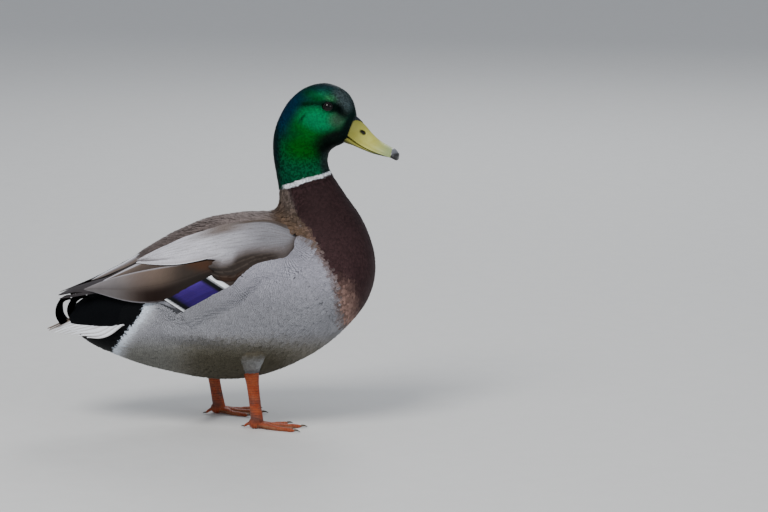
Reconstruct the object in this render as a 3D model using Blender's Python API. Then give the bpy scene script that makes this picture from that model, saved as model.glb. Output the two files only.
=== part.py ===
"""A standing mallard drake, life size, as a still museum model.

Metres, +Z up. The duck faces +X, its right side is at -Y, and it stands on Z = 0. The origin is on the
floor under the middle of the duck's length, between the tail tip and the bill tip.

The body is one loft from rump to bill, with thin cuts between its named parts. Wings, tail, thighs, curls
and bill are cut back from that loft, so that they lie against it with a small gap.
"""

import math

import bmesh
import bpy
from mathutils import Matrix, Vector

MM = 0.001
GAP = 0.0003  # left between neighbouring solids

# Driving dimensions
HEAD_TURN = math.radians(14)  # the head is turned to the duck's right
NECK_AXIS_X = 0.086  # the upright axis that the head turns about
BODY_SIDES = 24
BODY_RING_STEP = 0.0116

EYE_PLACE = Vector((0.1156, 0.0145, 0.3388))  # before the head's turn, mirrored for the right eye
EYE_RADIUS = 0.0062

LEG_SPREAD = 0.036  # each leg's distance from the middle
RIGHT_ANKLE_X = 0.0370
LEFT_ANKLE_X = -0.0065
RIGHT_HOCK_X = 0.0312
LEFT_HOCK_X = -0.0155
HOCK_HEIGHT = 0.0600
ANKLE_HEIGHT = 0.0085
TOE_HEIGHT = 0.0017  # a toe's centre line over the floor
SHANK_END = 0.0090
WEB_BOTTOM = 0.0004
WEB_THICKNESS = 0.0013

# The body's stations, tail to bill, in millimetres and with the head not yet turned:
# name, back outline x z, underside outline x z, half width, widest level, taper to the back, squareness
BODY = (
    ("rump tip", -163, 119, -159, 103, 11, 0.50, 0.00, 2.0),
    ("tail coverts", -144, 134, -143, 87, 22, 0.50, 0.00, 2.0),
    ("vent", -93, 173, -121, 76, 39, 0.48, 0.05, 2.1),
    ("rear flank", -72, 186.5, -85, 63, 53, 0.47, 0.05, 2.2),
    ("flank", -50, 199, -49, 54.5, 63.5, 0.47, 0.04, 2.25),
    ("belly", -13, 215, -11, 48, 69, 0.48, 0.03, 2.25),
    ("middle", 17, 222.5, 27, 49, 70.5, 0.48, 0.03, 2.25),
    ("shoulder", 40, 224, 66, 60, 69, 0.48, 0.05, 2.2),
    ("mantle", 53, 225.5, 108, 83, 64.5, 0.46, 0.12, 2.15),
    ("crop", 57.5, 229, 142.5, 116, 58, 0.43, 0.20, 2.1),
    ("low breast", 59, 232.5, 158.3, 146, 51, 0.42, 0.25, 2.1),
    ("breast", 59.8, 236, 160, 178, 43, 0.44, 0.22, 2.1),
    ("upper breast", 60.2, 239.8, 148, 214, 35.5, 0.47, 0.14, 2.05),
    ("low neck", 60.2, 244.2, 129, 243, 29, 0.50, 0.06, 2.0),
    ("collar", 59.8, 250, 115.3, 265, 25, 0.50, 0.02, 2.0),
    ("high neck", 57.4, 263, 111.5, 276, 23.0, 0.50, 0.00, 2.0),
    ("throat", 53.8, 285, 112.9, 286.8, 22.2, 0.48, 0.00, 2.0),
    ("nape", 54.4, 304.5, 117.2, 291.8, 22.2, 0.46, 0.02, 2.05),
    ("hind head", 60.1, 322.5, 121.6, 294.7, 22.6, 0.45, 0.05, 2.1),
    ("back of crown", 71.6, 341.4, 124.8, 296, 22.8, 0.45, 0.08, 2.15),
    ("rear crown", 88.5, 355, 126.9, 297, 22.2, 0.46, 0.10, 2.2),
    ("crown", 109.2, 360.2, 129.1, 298.2, 20.6, 0.46, 0.10, 2.2),
    ("forehead", 128.2, 354.6, 130.7, 298.8, 17.6, 0.44, 0.10, 2.15),
    ("lore", 138.6, 343.6, 132.2, 299.5, 14.4, 0.42, 0.10, 2.1),
    ("bill base", 143.0, 327.8, 134.0, 300.4, 11.8, 0.42, 0.10, 2.0),
)
STATION = {row[0]: index for index, row in enumerate(BODY)}

# The named parts of the body, and the station at which each one ends
BODY_PARTS = (
    ("rump", STATION["vent"] + 0.15),
    ("trunk", STATION["mantle"] + 0.5),
    ("breast", STATION["upper breast"] + 0.0),
    ("neck", STATION["collar"] - 0.25),
    ("neck_ring", STATION["collar"] + 0.25),
    ("head", STATION["bill base"] + 0.0),
)

# The folded wing, shoulder to tip, in millimetres:
# x, half width, centre height, half height, upper and lower edge in degrees above level, thickness
WING = (
    (86, 50.0, 153.0, 62.0, 56, 48, 8.0),
    (71, 63.5, 147.0, 78.0, 66, 33, 9.0),
    (57, 70.5, 142.5, 85.0, 70, 27, 9.0),
    (35, 75.0, 138.0, 89.5, 70, 25, 9.0),
    (12, 75.5, 134.5, 91.0, 69, 14, 9.0),
    (-15, 74.0, 132.0, 87.0, 68, 6, 9.0),
    (-43, 69.0, 132.0, 75.0, 68, -2, 8.5),
    (-68, 60.0, 136.0, 56.5, 68, 0, 7.5),
    (-97, 48.5, 138.5, 38.0, 68, 0, 6.0),
    (-118, 38.5, 140.5, 24.5, 66, 0, 4.6),
    (-140, 27.0, 143.0, 10.5, 62, 0, 3.4),
    (-158, 19.0, 141.0, 4.5, 58, 0, 2.4),
    (-171.5, 13.0, 137.4, 2.2, 50, 10, 1.5),
)

# The tail fan, root to tip, in millimetres: x, half width, height at the middle, drop at the edge, thickness
TAIL = (
    (-102, 41.0, 124.0, 15.0, 6.0),
    (-116, 40.0, 122.5, 20.0, 6.0),
    (-130, 37.5, 119.0, 20.5, 5.4),
    (-146, 34.0, 113.5, 15.5, 4.4),
    (-160, 27.5, 109.0, 11.0, 3.4),
    (-172, 18.0, 104.8, 6.5, 2.5),
    (-180, 9.5, 101.6, 2.8, 1.8),
    (-185.2, 3.0, 99.6, 0.8, 1.2),
)

# The upper bill, face to tip, in millimetres and not yet turned: ridge x z, cutting edge x z, half width
UPPER_BILL = (
    (134, 332, 123, 313, 9.0),
    (144.5, 324.8, 132.5, 307.1, 10.8),
    (153, 317.2, 143, 299.6, 10.8),
    (160, 309.2, 152, 294.8, 10.9),
    (168.5, 301.8, 162.5, 290.8, 11.3),
    (178, 295.6, 174, 287.8, 11.6),
    (183.6, 291.2, 181.6, 285.8, 10.0),
    (186.6, 288.0, 186.2, 285.1, 6.2),
    (187.8, 286.5, 187.7, 285.4, 2.2),
)
# The lower bill in the same way: top x z, bottom x z, half width
LOWER_BILL = (
    (124, 313.4, 124, 304, 7.6),
    (132, 308.2, 131.5, 298.4, 9.4),
    (143, 300.8, 141, 294.2, 9.6),
    (152, 296.2, 151, 290.5, 9.8),
    (162.5, 292.2, 162, 286.8, 10.2),
    (174, 289.2, 173.5, 284.6, 10.4),
    (181.2, 287.2, 180.9, 283.4, 8.4),
    (184.4, 286.2, 184.3, 283.6, 4.6),
)
NAIL_CENTRE = Vector((0.1860, 0.0, 0.2885))  # before the head's turn
NAIL_RADII = (0.0052, 0.0041, 0.0065)
NOSTRIL_CENTRE = Vector((0.1535, 0.0083, 0.3113))
NOSTRIL_RADII = (0.0030, 0.0016, 0.0014)

# The feathered thigh: height, distance outward from the leg, fore-and-aft and sideways radius
THIGH = (
    (0.0960, 0.0150, 0.0270, 0.0100),
    (0.0860, 0.0150, 0.0215, 0.0112),
    (0.0770, 0.0125, 0.0158, 0.0112),
    (0.0700, 0.0085, 0.0120, 0.0102),
    (0.0645, 0.0040, 0.0097, 0.0086),
    (HOCK_HEIGHT + GAP, 0.0008, 0.0085, 0.0072),
)
# The bare leg: height, fore-and-aft and sideways radius
SHANK = (
    (HOCK_HEIGHT, 0.0078, 0.0064),
    (0.0545, 0.0076, 0.0062),
    (0.0470, 0.0069, 0.0052),
    (0.0380, 0.0065, 0.0048),
    (0.0250, 0.0064, 0.0047),
    (0.0150, 0.0067, 0.0053),
    (SHANK_END, 0.0069, 0.0058),
)

# Each toe: angle from straight ahead towards the middle of the duck, length, root radius, tip radius
TOES = {
    "inner": (30, 0.0365, 0.0038, 0.0021),
    "middle": (3, 0.0465, 0.0042, 0.0022),
    "outer": (-25, 0.0440, 0.0038, 0.0021),
}
CLAW_LENGTH = 0.0062
CLAW_RADIUS = 0.0014
HIND_TOE_LENGTH = 0.0125

# Curled feathers over the tail: radius of the curl, its centre x z, half width, and distance from the middle
CURLS = (
    ("outer", 0.0105, -0.1600, 0.1210, 0.0034, 0.0052),
    ("inner", 0.0095, -0.1440, 0.1250, 0.0034, 0.0088),
)

COLOURS = {  # colour, roughness, metallic
    "head": ((0.010, 0.085, 0.035), 0.35, 0.30),
    "neck_ring": ((0.80, 0.80, 0.78), 0.70, 0.0),
    "neck": ((0.055, 0.024, 0.018), 0.65, 0.0),
    "breast": ((0.055, 0.024, 0.018), 0.65, 0.0),
    "trunk": ((0.42, 0.41, 0.39), 0.75, 0.0),
    "rump": ((0.010, 0.011, 0.012), 0.55, 0.0),
    "tail": ((0.62, 0.60, 0.57), 0.70, 0.0),
    "curl": ((0.008, 0.009, 0.010), 0.45, 0.0),
    "wing": ((0.26, 0.22, 0.19), 0.65, 0.0),
    "thigh": ((0.45, 0.44, 0.42), 0.75, 0.0),
    "leg": ((0.60, 0.150, 0.035), 0.50, 0.0),
    "claw": ((0.030, 0.022, 0.018), 0.35, 0.0),
    "bill": ((0.52, 0.47, 0.10), 0.40, 0.0),
    "nail": ((0.015, 0.014, 0.013), 0.35, 0.0),
    "eye": ((0.012, 0.007, 0.004), 0.05, 0.0),
}


# ---------------------------------------------------------------- scene and materials


def clear_scene():
    for obj in list(bpy.data.objects):
        bpy.data.objects.remove(obj)


def collection(name):
    made = bpy.data.collections.new(name)
    bpy.context.scene.collection.children.link(made)
    return made


def material(name):
    found = bpy.data.materials.get(name)
    if found:
        return found
    colour, roughness, metallic = COLOURS[name]
    made = bpy.data.materials.new(name)
    made.use_nodes = True
    shader = made.node_tree.nodes["Principled BSDF"]
    shader.inputs["Base Color"].default_value = (*colour, 1.0)
    shader.inputs["Roughness"].default_value = roughness
    shader.inputs["Metallic"].default_value = metallic
    return made


def place(obj, into, material_name=None):
    """Moves an object into one collection and gives it its material."""
    for held in list(obj.users_collection):
        held.objects.unlink(obj)
    into.objects.link(obj)
    if material_name:
        obj.data.materials.clear()
        obj.data.materials.append(material(material_name))
    return obj


# ---------------------------------------------------------------- shape helpers


def spline(rows, position):
    """Catmull-Rom interpolation of every column of rows, at a position counted in rows."""
    last = len(rows) - 1
    index = min(max(int(math.floor(position)), 0), last - 1)
    t = position - index
    before, start, end, after = (rows[min(max(index + k, 0), last)] for k in (-1, 0, 1, 2))
    mixed = []
    for p0, p1, p2, p3 in zip(before, start, end, after):
        bend = (2 * p0 - 5 * p1 + 4 * p2 - p3) * t * t + (3 * p1 - p0 - 3 * p2 + p3) * t**3
        mixed.append(0.5 * (2 * p1 + (p2 - p0) * t + bend))
    return mixed


def smooth_step(low, high, value):
    t = min(max((value - low) / (high - low), 0.0), 1.0)
    return t * t * (3 - 2 * t)


def turned(point, share=1.0):
    """A point of the neck or head after its share of the head's turn."""
    pivot = Vector((NECK_AXIS_X, 0, 0))
    return Matrix.Rotation(-HEAD_TURN * share, 3, "Z") @ (Vector(point) - pivot) + pivot


def signed_power(value, power):
    return math.copysign(abs(value) ** power, value)


def ring_between(top, bottom, half_width, level, taper, squareness, sides):
    """A closed egg-shaped ring in the plane that holds the line from bottom to top and the Y axis."""
    line = top - bottom
    ring = []
    for k in range(sides):
        angle = 2 * math.pi * k / sides
        across = signed_power(math.cos(angle), 2 / squareness)
        up = signed_power(math.sin(angle), 2 / squareness)
        share = level + up * ((1 - level) if up > 0 else level)
        point = bottom + line * share
        point.y += half_width * across * (1 - taper * up)
        ring.append(point)
    return ring


def shell_ring(outer, inner):
    """A closed ring from an outer row of points and the inner row under it."""
    return outer + inner[::-1]


def loft(name, rings):
    """A closed mesh through rings of the same count, with flat ends."""
    mesh = bpy.data.meshes.new(name)
    build = bmesh.new()
    rows = [[build.verts.new(point) for point in ring] for ring in rings]
    sides = len(rings[0])
    for low, high in zip(rows, rows[1:]):
        for k in range(sides):
            after = (k + 1) % sides
            build.faces.new((low[k], low[after], high[after], high[k]))
    build.faces.new(rows[0][::-1])
    build.faces.new(rows[-1])
    bmesh.ops.recalc_face_normals(build, faces=build.faces)
    build.to_mesh(mesh)
    build.free()
    mesh.shade_smooth()
    obj = bpy.data.objects.new(name, mesh)
    bpy.context.scene.collection.objects.link(obj)
    return obj


def inflated(obj, distance, name):
    """A hidden copy of a solid that stands out from it by distance, to cut its neighbours with."""
    build = bmesh.new()
    build.from_mesh(obj.data)
    build.normal_update()
    normals = [vertex.normal.copy() for vertex in build.verts]
    for vertex, normal in zip(build.verts, normals):
        vertex.co += normal * distance
    mesh = bpy.data.meshes.new(name)
    build.to_mesh(mesh)
    build.free()
    cutter = bpy.data.objects.new(name, mesh)
    cutter.matrix_world = obj.matrix_world
    return hide(cutter)


def hide(cutter):
    place(cutter, bpy.data.collections["cutters"])
    cutter.hide_render = True
    cutter.display_type = "WIRE"
    return cutter


def combine(obj, other, operation):
    """Adds a Boolean modifier: DIFFERENCE, UNION or INTERSECT."""
    modifier = obj.modifiers.new(f"{operation.lower()} {other.name}", "BOOLEAN")
    modifier.operation = operation
    modifier.solver = "EXACT"
    modifier.object = other
    return obj


def as_mesh(obj):
    """Replaces an object by the mesh that its modifiers or its curve make."""
    bpy.context.view_layer.update()
    graph = bpy.context.evaluated_depsgraph_get()
    mesh = bpy.data.meshes.new_from_object(obj.evaluated_get(graph))
    build = bmesh.new()
    build.from_mesh(mesh)
    bmesh.ops.remove_doubles(build, verts=build.verts, dist=1e-6)
    build.to_mesh(mesh)
    build.free()
    name = obj.name
    made = bpy.data.objects.new(name + " mesh", mesh)
    made.matrix_world = obj.matrix_world
    for held in obj.users_collection:
        held.objects.link(made)
    bpy.data.objects.remove(obj)
    made.name = name
    return made


def tube(name, points, radii):
    """A round tapering tube through points, as a mesh."""
    curve = bpy.data.curves.new(name, "CURVE")
    curve.dimensions = "3D"
    curve.bevel_depth = 1.0
    curve.bevel_resolution = 2
    curve.use_fill_caps = True
    run = curve.splines.new("POLY")
    run.points.add(len(points) - 1)
    for spot, point, radius in zip(run.points, points, radii):
        spot.co = (*point, 1.0)
        spot.radius = radius
    obj = bpy.data.objects.new(name, curve)
    bpy.context.scene.collection.objects.link(obj)
    return as_mesh(obj)


def ellipsoid(name, centre, radii, turn=0.0, tip=0.0):
    """A sphere stretched to three radii, tipped about Y and then turned about Z."""
    bpy.ops.mesh.primitive_uv_sphere_add(segments=14, ring_count=8, radius=1.0)
    obj = bpy.context.object
    obj.name = name
    shape = Matrix.Rotation(turn, 4, "Z") @ Matrix.Rotation(tip, 4, "Y") @ Matrix.Diagonal((*radii, 1.0))
    obj.data.transform(Matrix.Translation(centre) @ shape)
    return obj


# ---------------------------------------------------------------- body


def body_ring(station):
    columns = [row[1:] for row in BODY]
    back_x, back_z, under_x, under_z, half_width, level, taper, squareness = spline(columns, station)
    back = Vector((back_x, 0, back_z)) * MM
    under = Vector((under_x, 0, under_z)) * MM
    ring = ring_between(back, under, half_width * MM, level, taper, squareness, BODY_SIDES)
    share = smooth_step(STATION["upper breast"] + 0.3, STATION["nape"], station)
    return [turned(point, share) for point in ring]


def body_stations(start, end):
    """Stations from start to end, about one ring step apart on the longer side of the loft."""
    stations = [start]
    while stations[-1] < end - 1e-6:
        here = [Vector(p) for p in body_ring(stations[-1])]
        ahead = [Vector(p) for p in body_ring(min(stations[-1] + 0.1, end))]
        reach = sorted((a - b).length for a, b in zip(here, ahead))[-BODY_SIDES // 4]
        step = 0.1 * BODY_RING_STEP / max(reach, 1e-6)
        stations.append(min(stations[-1] + min(step, 1.0), end))
    if len(stations) > 2 and stations[-1] - stations[-2] < 0.3 * (stations[-2] - stations[-3]):
        del stations[-2]
    return stations


def rounded_end(ring, reach, inset=(0.80, 0.45)):
    """Two smaller rings beyond an end ring, which round it off."""
    centre = sum(ring, Vector()) / len(ring)
    steps = (0.55, 1.0)
    return [[centre + (p - centre) * share + reach * step for p in ring] for share, step in zip(inset, steps)]


def ring_normal(ring):
    centre = sum(ring, Vector()) / len(ring)
    quarter = len(ring) // 4
    return (ring[0] - centre).cross(ring[quarter] - centre).normalized()


def body_part(name, start, end):
    """One stretch of the body loft. Its first ring is a gap away from the part before it."""
    rings = [body_ring(s) for s in body_stations(start, end)]
    forward = ring_normal(rings[0])
    if forward.dot(rings[1][0] - rings[0][0] + rings[1][7] - rings[0][7]) < 0:
        forward.negate()
    if start > 0:
        rings[0] = [point + forward * GAP for point in rings[0]]
    else:
        rings = rounded_end(rings[0], -forward * 0.005)[::-1] + rings
    return loft(name, rings)


def body_core():
    """The whole body loft in one, as the base of the cutters."""
    rings = [body_ring(s) for s in body_stations(0, len(BODY) - 1)]
    first = rounded_end(rings[0], -ring_normal(rings[0]) * 0.005)
    if (sum(first[1], Vector()) / BODY_SIDES).x > (sum(rings[0], Vector()) / BODY_SIDES).x:
        first = rounded_end(rings[0], ring_normal(rings[0]) * 0.005)
    return hide(loft("body core", first[::-1] + rings))


# ---------------------------------------------------------------- wings and tail


def wing_ring(row, side, points=9):
    """A lens-shaped section of the folded wing, on an ellipse round the body."""
    x, half_width, centre_z, half_height, upper, lower, thickness = row
    outer, inner = [], []
    for k in range(points):
        v = 2 * k / (points - 1) - 1
        angle = math.radians((upper + lower) / 2 + v * (upper - lower) / 2)
        fullness = math.sqrt(max(1 - v**4, 0.0)) + 0.06
        middle = 1 + 0.35 * (1 - fullness) * smooth_step(0.0, 0.6, v)
        for surface, share in ((outer, 1), (inner, -1)):
            depth = thickness / 2 * (middle - share * fullness)
            y = (half_width - depth) * math.cos(angle)
            z = centre_z + (half_height - depth) * math.sin(angle)
            surface.append(Vector((x, side * y, z)) * MM)
    return shell_ring(outer, inner)


def wing(name, side, core_cutter):
    steps = 16
    rings = [wing_ring(spline(WING, k * (len(WING) - 1) / steps), side) for k in range(steps + 1)]
    made = loft(name, rings)
    return combine(made, core_cutter, "DIFFERENCE")


def tail_ring(row, points=9):
    """A section of the tail fan, which droops to its edges like a roof."""
    x, half_width, middle_z, drop, thickness = row
    upper, lower = [], []
    for k in range(points):
        v = 2 * k / (points - 1) - 1
        z = middle_z - drop * abs(v) ** 1.5
        half = thickness / 2 * (math.sqrt(max(1 - v**4, 0.0)) * 0.9 + 0.1)
        upper.append(Vector((x, half_width * v, z + half)) * MM)
        lower.append(Vector((x, half_width * v, z - half)) * MM)
    return shell_ring(upper, lower)


def tail(core_cutter):
    steps = 11
    rings = [tail_ring(spline(TAIL, k * (len(TAIL) - 1) / steps)) for k in range(steps + 1)]
    return combine(loft("tail", rings), core_cutter, "DIFFERENCE")


def curl(name, radius, centre_x, centre_z, half_width, y, side, cutters):
    """A flat feather that leaves the rump, and curls up and forward in one turn."""
    rings = []
    steps = 10
    start, sweep = math.radians(-75), math.radians(-235)
    for k in range(steps + 1):
        share = k / steps
        angle = start + sweep * share
        reach = radius * (1.25 - 0.45 * share)
        out = Vector((math.cos(angle), 0, math.sin(angle)))
        centre = Vector((centre_x, side * (y + 0.003 * share), centre_z)) + out * reach
        width = half_width * math.sin(math.pi * (0.22 + 0.76 * share)) ** 0.8 + 0.0004
        thick = 0.0009 - 0.0003 * share
        ring = []
        for corner in range(6):
            turn = 2 * math.pi * corner / 6
            ring.append(centre + out * width * math.cos(turn) + Vector((0, thick * math.sin(turn), 0)))
        rings.append(ring)
    made = loft(name, rings)
    for cutter in cutters:
        combine(made, cutter, "DIFFERENCE")
    return made


# ---------------------------------------------------------------- bill and eyes


def bill_loft(name, rows, level, squareness):
    rings = []
    steps = 12
    for k in range(steps + 1):
        top_x, top_z, low_x, low_z, half_width = spline(rows, k * (len(rows) - 1) / steps)
        top = Vector((top_x, 0, top_z)) * MM
        low = Vector((low_x, 0, low_z)) * MM
        ring = ring_between(top, low, half_width * MM, level, 0.0, squareness, 16)
        rings.append([turned(point) for point in ring])
    return loft(name, rings)


def bill(solids, head_cutter):
    upper = combine(bill_loft("bill_upper", UPPER_BILL, 0.16, 1.85), head_cutter, "DIFFERENCE")
    slope = math.radians(35)
    for side, name in ((1, "left"), (-1, "right")):
        centre = turned((NOSTRIL_CENTRE.x, side * NOSTRIL_CENTRE.y, NOSTRIL_CENTRE.z))
        pit = hide(ellipsoid(f"nostril {name}", centre, NOSTRIL_RADII, -HEAD_TURN, slope))
        combine(upper, pit, "DIFFERENCE")
    nail_centre = turned(NAIL_CENTRE)
    nail = ellipsoid("bill_nail", nail_centre, NAIL_RADII, -HEAD_TURN, 0.0)
    upper_whole = hide(bill_loft("upper bill whole", UPPER_BILL, 0.16, 1.85))
    nail_cutter = inflated(nail, GAP, "nail cutter")
    combine(nail, upper_whole, "INTERSECT")
    combine(upper, nail_cutter, "DIFFERENCE")
    place(upper, solids, "bill")
    place(nail, solids, "nail")
    lower = combine(bill_loft("bill_lower", LOWER_BILL, 0.86, 2.2), head_cutter, "DIFFERENCE")
    upper_cutter = inflated(upper_whole, GAP, "upper bill cutter")
    combine(lower, upper_cutter, "DIFFERENCE")
    place(lower, solids, "bill")


def eyes(solids, head):
    for side, name in ((1, "left"), (-1, "right")):
        centre = turned((EYE_PLACE.x, side * EYE_PLACE.y, EYE_PLACE.z))
        radii = (EYE_RADIUS,) * 3
        place(ellipsoid(f"eye_{name}", centre, radii), solids, "eye")
        socket = hide(ellipsoid(f"eye socket {name}", centre, (EYE_RADIUS + GAP,) * 3))
        combine(head, socket, "DIFFERENCE")


# ---------------------------------------------------------------- legs and feet


def limb_ring(centre, fore_aft, across, sides=12):
    ring = []
    for k in range(sides):
        angle = 2 * math.pi * k / sides
        ring.append(centre + Vector((fore_aft * math.cos(angle), across * math.sin(angle), 0)))
    return ring


def along_leg(hock, ankle, height):
    """The leg's centre line at a height over the floor."""
    share = (height - ankle.z) / (hock.z - ankle.z)
    return ankle.lerp(hock, share)


def thigh(name, hock, side, core_cutter):
    """The feathered cone over the hock, which leans out of the side of the belly."""
    rings = []
    for height, outward, fore_aft, across in THIGH:
        centre = Vector((hock.x, hock.y + side * outward, height))
        rings.append(limb_ring(centre, fore_aft, across))
    return combine(loft(name, rings), core_cutter, "DIFFERENCE")


def leg(name, hock, ankle):
    """The bare leg from the hock to the ankle."""
    rings = [limb_ring(along_leg(hock, ankle, h), fore, across) for h, fore, across in SHANK]
    return loft(name, rings)


def toe_line(ankle, heading, length, side):
    """Points of a toe's centre line, from under the ankle to its tip on the floor."""
    angle = -side * math.radians(heading)
    ahead = Vector((math.cos(angle), math.sin(angle), 0))
    base = Vector((ankle.x, ankle.y, 0))
    rise = ((0.0, 0.0052), (0.10, 0.0048), (0.28, 0.0032), (0.5, TOE_HEIGHT), (0.75, TOE_HEIGHT), (1.0, TOE_HEIGHT))
    return [base + ahead * (length * share) + Vector((0, 0, height)) for share, height in rise], ahead


def web(name, ankle, tips, root):
    """The skin between the toes: an outline with hollow front edges, of one thickness."""
    curve = bpy.data.curves.new(name, "CURVE")
    curve.dimensions = "2D"
    curve.fill_mode = "BOTH"
    curve.extrude = WEB_THICKNESS / 2
    outline = [root]
    for first, second in zip(tips, tips[1:]):
        for k in range(6):
            share = k / 6
            edge = first.lerp(second, share)
            hollow = 0.30 * math.sin(math.pi * share) * (first - second).length
            outline.append(edge + (root - edge).normalized() * hollow)
    outline.append(tips[-1])
    run = curve.splines.new("POLY")
    run.points.add(len(outline) - 1)
    for spot, point in zip(run.points, outline):
        spot.co = (point.x, point.y, 0, 1)
    run.use_cyclic_u = True
    obj = bpy.data.objects.new(name, curve)
    obj.location = (0, 0, WEB_BOTTOM + WEB_THICKNESS / 2)
    bpy.context.scene.collection.objects.link(obj)
    return as_mesh(obj)


def claw(name, start, ahead, radius, length, solids):
    """A short blunt claw that points ahead and a little down."""
    droop = Vector((ahead.x, ahead.y, -0.16)).normalized()
    bpy.ops.mesh.primitive_cone_add(vertices=7, radius1=radius, radius2=radius * 0.25, depth=length)
    obj = bpy.context.object
    obj.name = name
    facing = droop.to_track_quat("Z", "Y").to_matrix().to_4x4()
    obj.data.transform(Matrix.Translation(start + droop * (length / 2)) @ facing)
    return place(obj, solids, "claw")


def foot(side_name, side, ankle, solids):
    """Three webbed toes, the small hind toe and their claws."""
    parts = []
    tips = []
    for toe, (heading, length, root_radius, tip_radius) in TOES.items():
        points, ahead = toe_line(ankle, heading, length, side)
        radii = [root_radius + (tip_radius - root_radius) * k / (len(points) - 1) for k in range(len(points))]
        radii[3] *= 1.12
        parts.append(tube(f"{toe} toe {side_name}", points, radii))
        tips.append(points[-1] - ahead * 0.0022)
        claw_start = points[-1] + ahead * (GAP + 0.0001) + Vector((0, 0, 0.0002))
        claw(f"claw_{side_name}_{toe}", claw_start, ahead, CLAW_RADIUS, CLAW_LENGTH, solids)
    heel = Vector((ankle.x - 0.002, ankle.y, 0.0058))
    parts.append(ellipsoid(f"ankle {side_name}", heel, (0.0074, 0.0064, 0.0064)))
    back = Vector((-0.94, -side * 0.34, 0)).normalized()
    hind = [heel + Vector((0, 0, 0.0015)), heel + back * 0.007 + Vector((0, 0, -0.0008))]
    hind.append(heel + back * HIND_TOE_LENGTH + Vector((0, 0, -0.0040)))
    parts.append(tube(f"hind toe {side_name}", hind, (0.0021, 0.0019, 0.0015)))
    along_hind = (hind[2] - hind[1]).normalized()
    hind_claw = hind[2] + along_hind * (GAP + 0.0001)
    claw(f"claw_{side_name}_hind", hind_claw, Vector((along_hind.x, along_hind.y, 0)), 0.0010, 0.0036, solids)
    root = Vector((ankle.x + 0.001, ankle.y, 0))
    made = web(f"foot_{side_name}", ankle, tips, root)
    for part in parts:
        combine(made, hide(part), "UNION")
    bpy.ops.mesh.primitive_cube_add(size=1)
    under = bpy.context.object
    under.name = f"floor {side_name}"
    under.data.transform(Matrix.Translation((ankle.x, ankle.y, -0.01)) @ Matrix.Diagonal((0.2, 0.2, 0.02, 1)))
    combine(made, hide(under), "DIFFERENCE")
    bpy.ops.mesh.primitive_cube_add(size=1)
    above = bpy.context.object
    above.name = f"leg end {side_name}"
    above_foot = Matrix.Translation((ankle.x, ankle.y, SHANK_END - GAP + 0.01))
    above.data.transform(above_foot @ Matrix.Diagonal((0.03, 0.03, 0.02, 1)))
    combine(made, hide(above), "DIFFERENCE")
    return place(made, solids, "leg")


def legs(solids, core_cutter):
    for name, side, hock_x, ankle_x in (
        ("left", 1, LEFT_HOCK_X, LEFT_ANKLE_X),
        ("right", -1, RIGHT_HOCK_X, RIGHT_ANKLE_X),
    ):
        hock = Vector((hock_x, side * LEG_SPREAD, HOCK_HEIGHT))
        ankle = Vector((ankle_x, side * LEG_SPREAD, ANKLE_HEIGHT))
        place(thigh(f"thigh_{name}", hock, side, core_cutter), solids, "thigh")
        shank = place(leg(f"leg_{name}", hock, ankle), solids, "leg")
        combine(shank, core_cutter, "DIFFERENCE")
        foot(name, side, ankle, solids)


# ---------------------------------------------------------------- the duck


def main():
    clear_scene()
    solids = collection("mallard drake")
    collection("cutters")
    core = body_core()
    core_cutter = inflated(core, GAP, "core cutter")
    start = 0.0
    parts = {}
    for name, end in BODY_PARTS:
        parts[name] = place(body_part(name, start, end), solids, name)
        start = end
    for name, side in (("left", 1), ("right", -1)):
        place(wing(f"wing_{name}", side, core_cutter), solids, "wing")
    fan = place(tail(core_cutter), solids, "tail")
    tail_cutter = inflated(fan, GAP, "tail cutter")
    for curl_name, radius, x, z, half_width, y in CURLS:
        for name, side in (("left", 1), ("right", -1)):
            made = curl(f"curl_{curl_name}_{name}", radius, x, z, half_width, y, side, (core_cutter, tail_cutter))
            place(made, solids, "curl")
    bill(solids, core_cutter)
    eyes(solids, parts["head"])
    legs(solids, core_cutter)


main()
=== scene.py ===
"""Dresses the standing mallard drake: skin, plumage, eyes, bill, legs, floor and light.

X runs ahead along the duck, Y to its left and Z up. The tables are in millimetres, everything else in metres.
A place on the body is a station, counted along the table from tail to bill, and a turn, which goes once round
from the left side over the back. A place on a wing is given in profile: how far along and how high it looks
from the side and ten degrees above.
"""
import math

import bpy
import numpy as np
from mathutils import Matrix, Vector


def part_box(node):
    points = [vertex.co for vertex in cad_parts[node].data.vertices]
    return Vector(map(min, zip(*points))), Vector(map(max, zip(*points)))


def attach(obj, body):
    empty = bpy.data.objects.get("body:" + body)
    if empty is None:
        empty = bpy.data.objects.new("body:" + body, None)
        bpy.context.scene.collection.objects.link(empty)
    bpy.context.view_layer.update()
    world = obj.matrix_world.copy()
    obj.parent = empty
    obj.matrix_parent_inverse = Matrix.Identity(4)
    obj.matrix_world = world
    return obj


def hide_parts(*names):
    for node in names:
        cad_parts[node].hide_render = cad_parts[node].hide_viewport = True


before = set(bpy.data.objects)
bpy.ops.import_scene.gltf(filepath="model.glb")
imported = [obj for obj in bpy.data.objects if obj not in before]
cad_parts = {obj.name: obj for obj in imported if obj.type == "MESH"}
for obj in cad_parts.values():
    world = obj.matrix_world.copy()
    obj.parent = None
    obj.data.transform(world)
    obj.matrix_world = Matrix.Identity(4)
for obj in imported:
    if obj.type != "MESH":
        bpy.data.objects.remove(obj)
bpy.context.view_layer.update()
chance = np.random.default_rng(11)
MM = 0.001
UP = np.array([0, 0, 1.0])

SIDES = ((-1, "right"), (1, "left"))
HEAD_TURN = math.radians(14)  # towards the right side
NECK_AXIS_X = 86.0

# The profile view looks ten degrees down at a point over the floor, which lies on it at PROFILE_LEVEL
LIFT = math.radians(10)
RISE, FLAT = math.sin(LIFT), math.cos(LIFT)
PROFILE_DISTANCE, PROFILE_X, PROFILE_Z, PROFILE_LEVEL = 3400, 170, 177, 174.3

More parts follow.
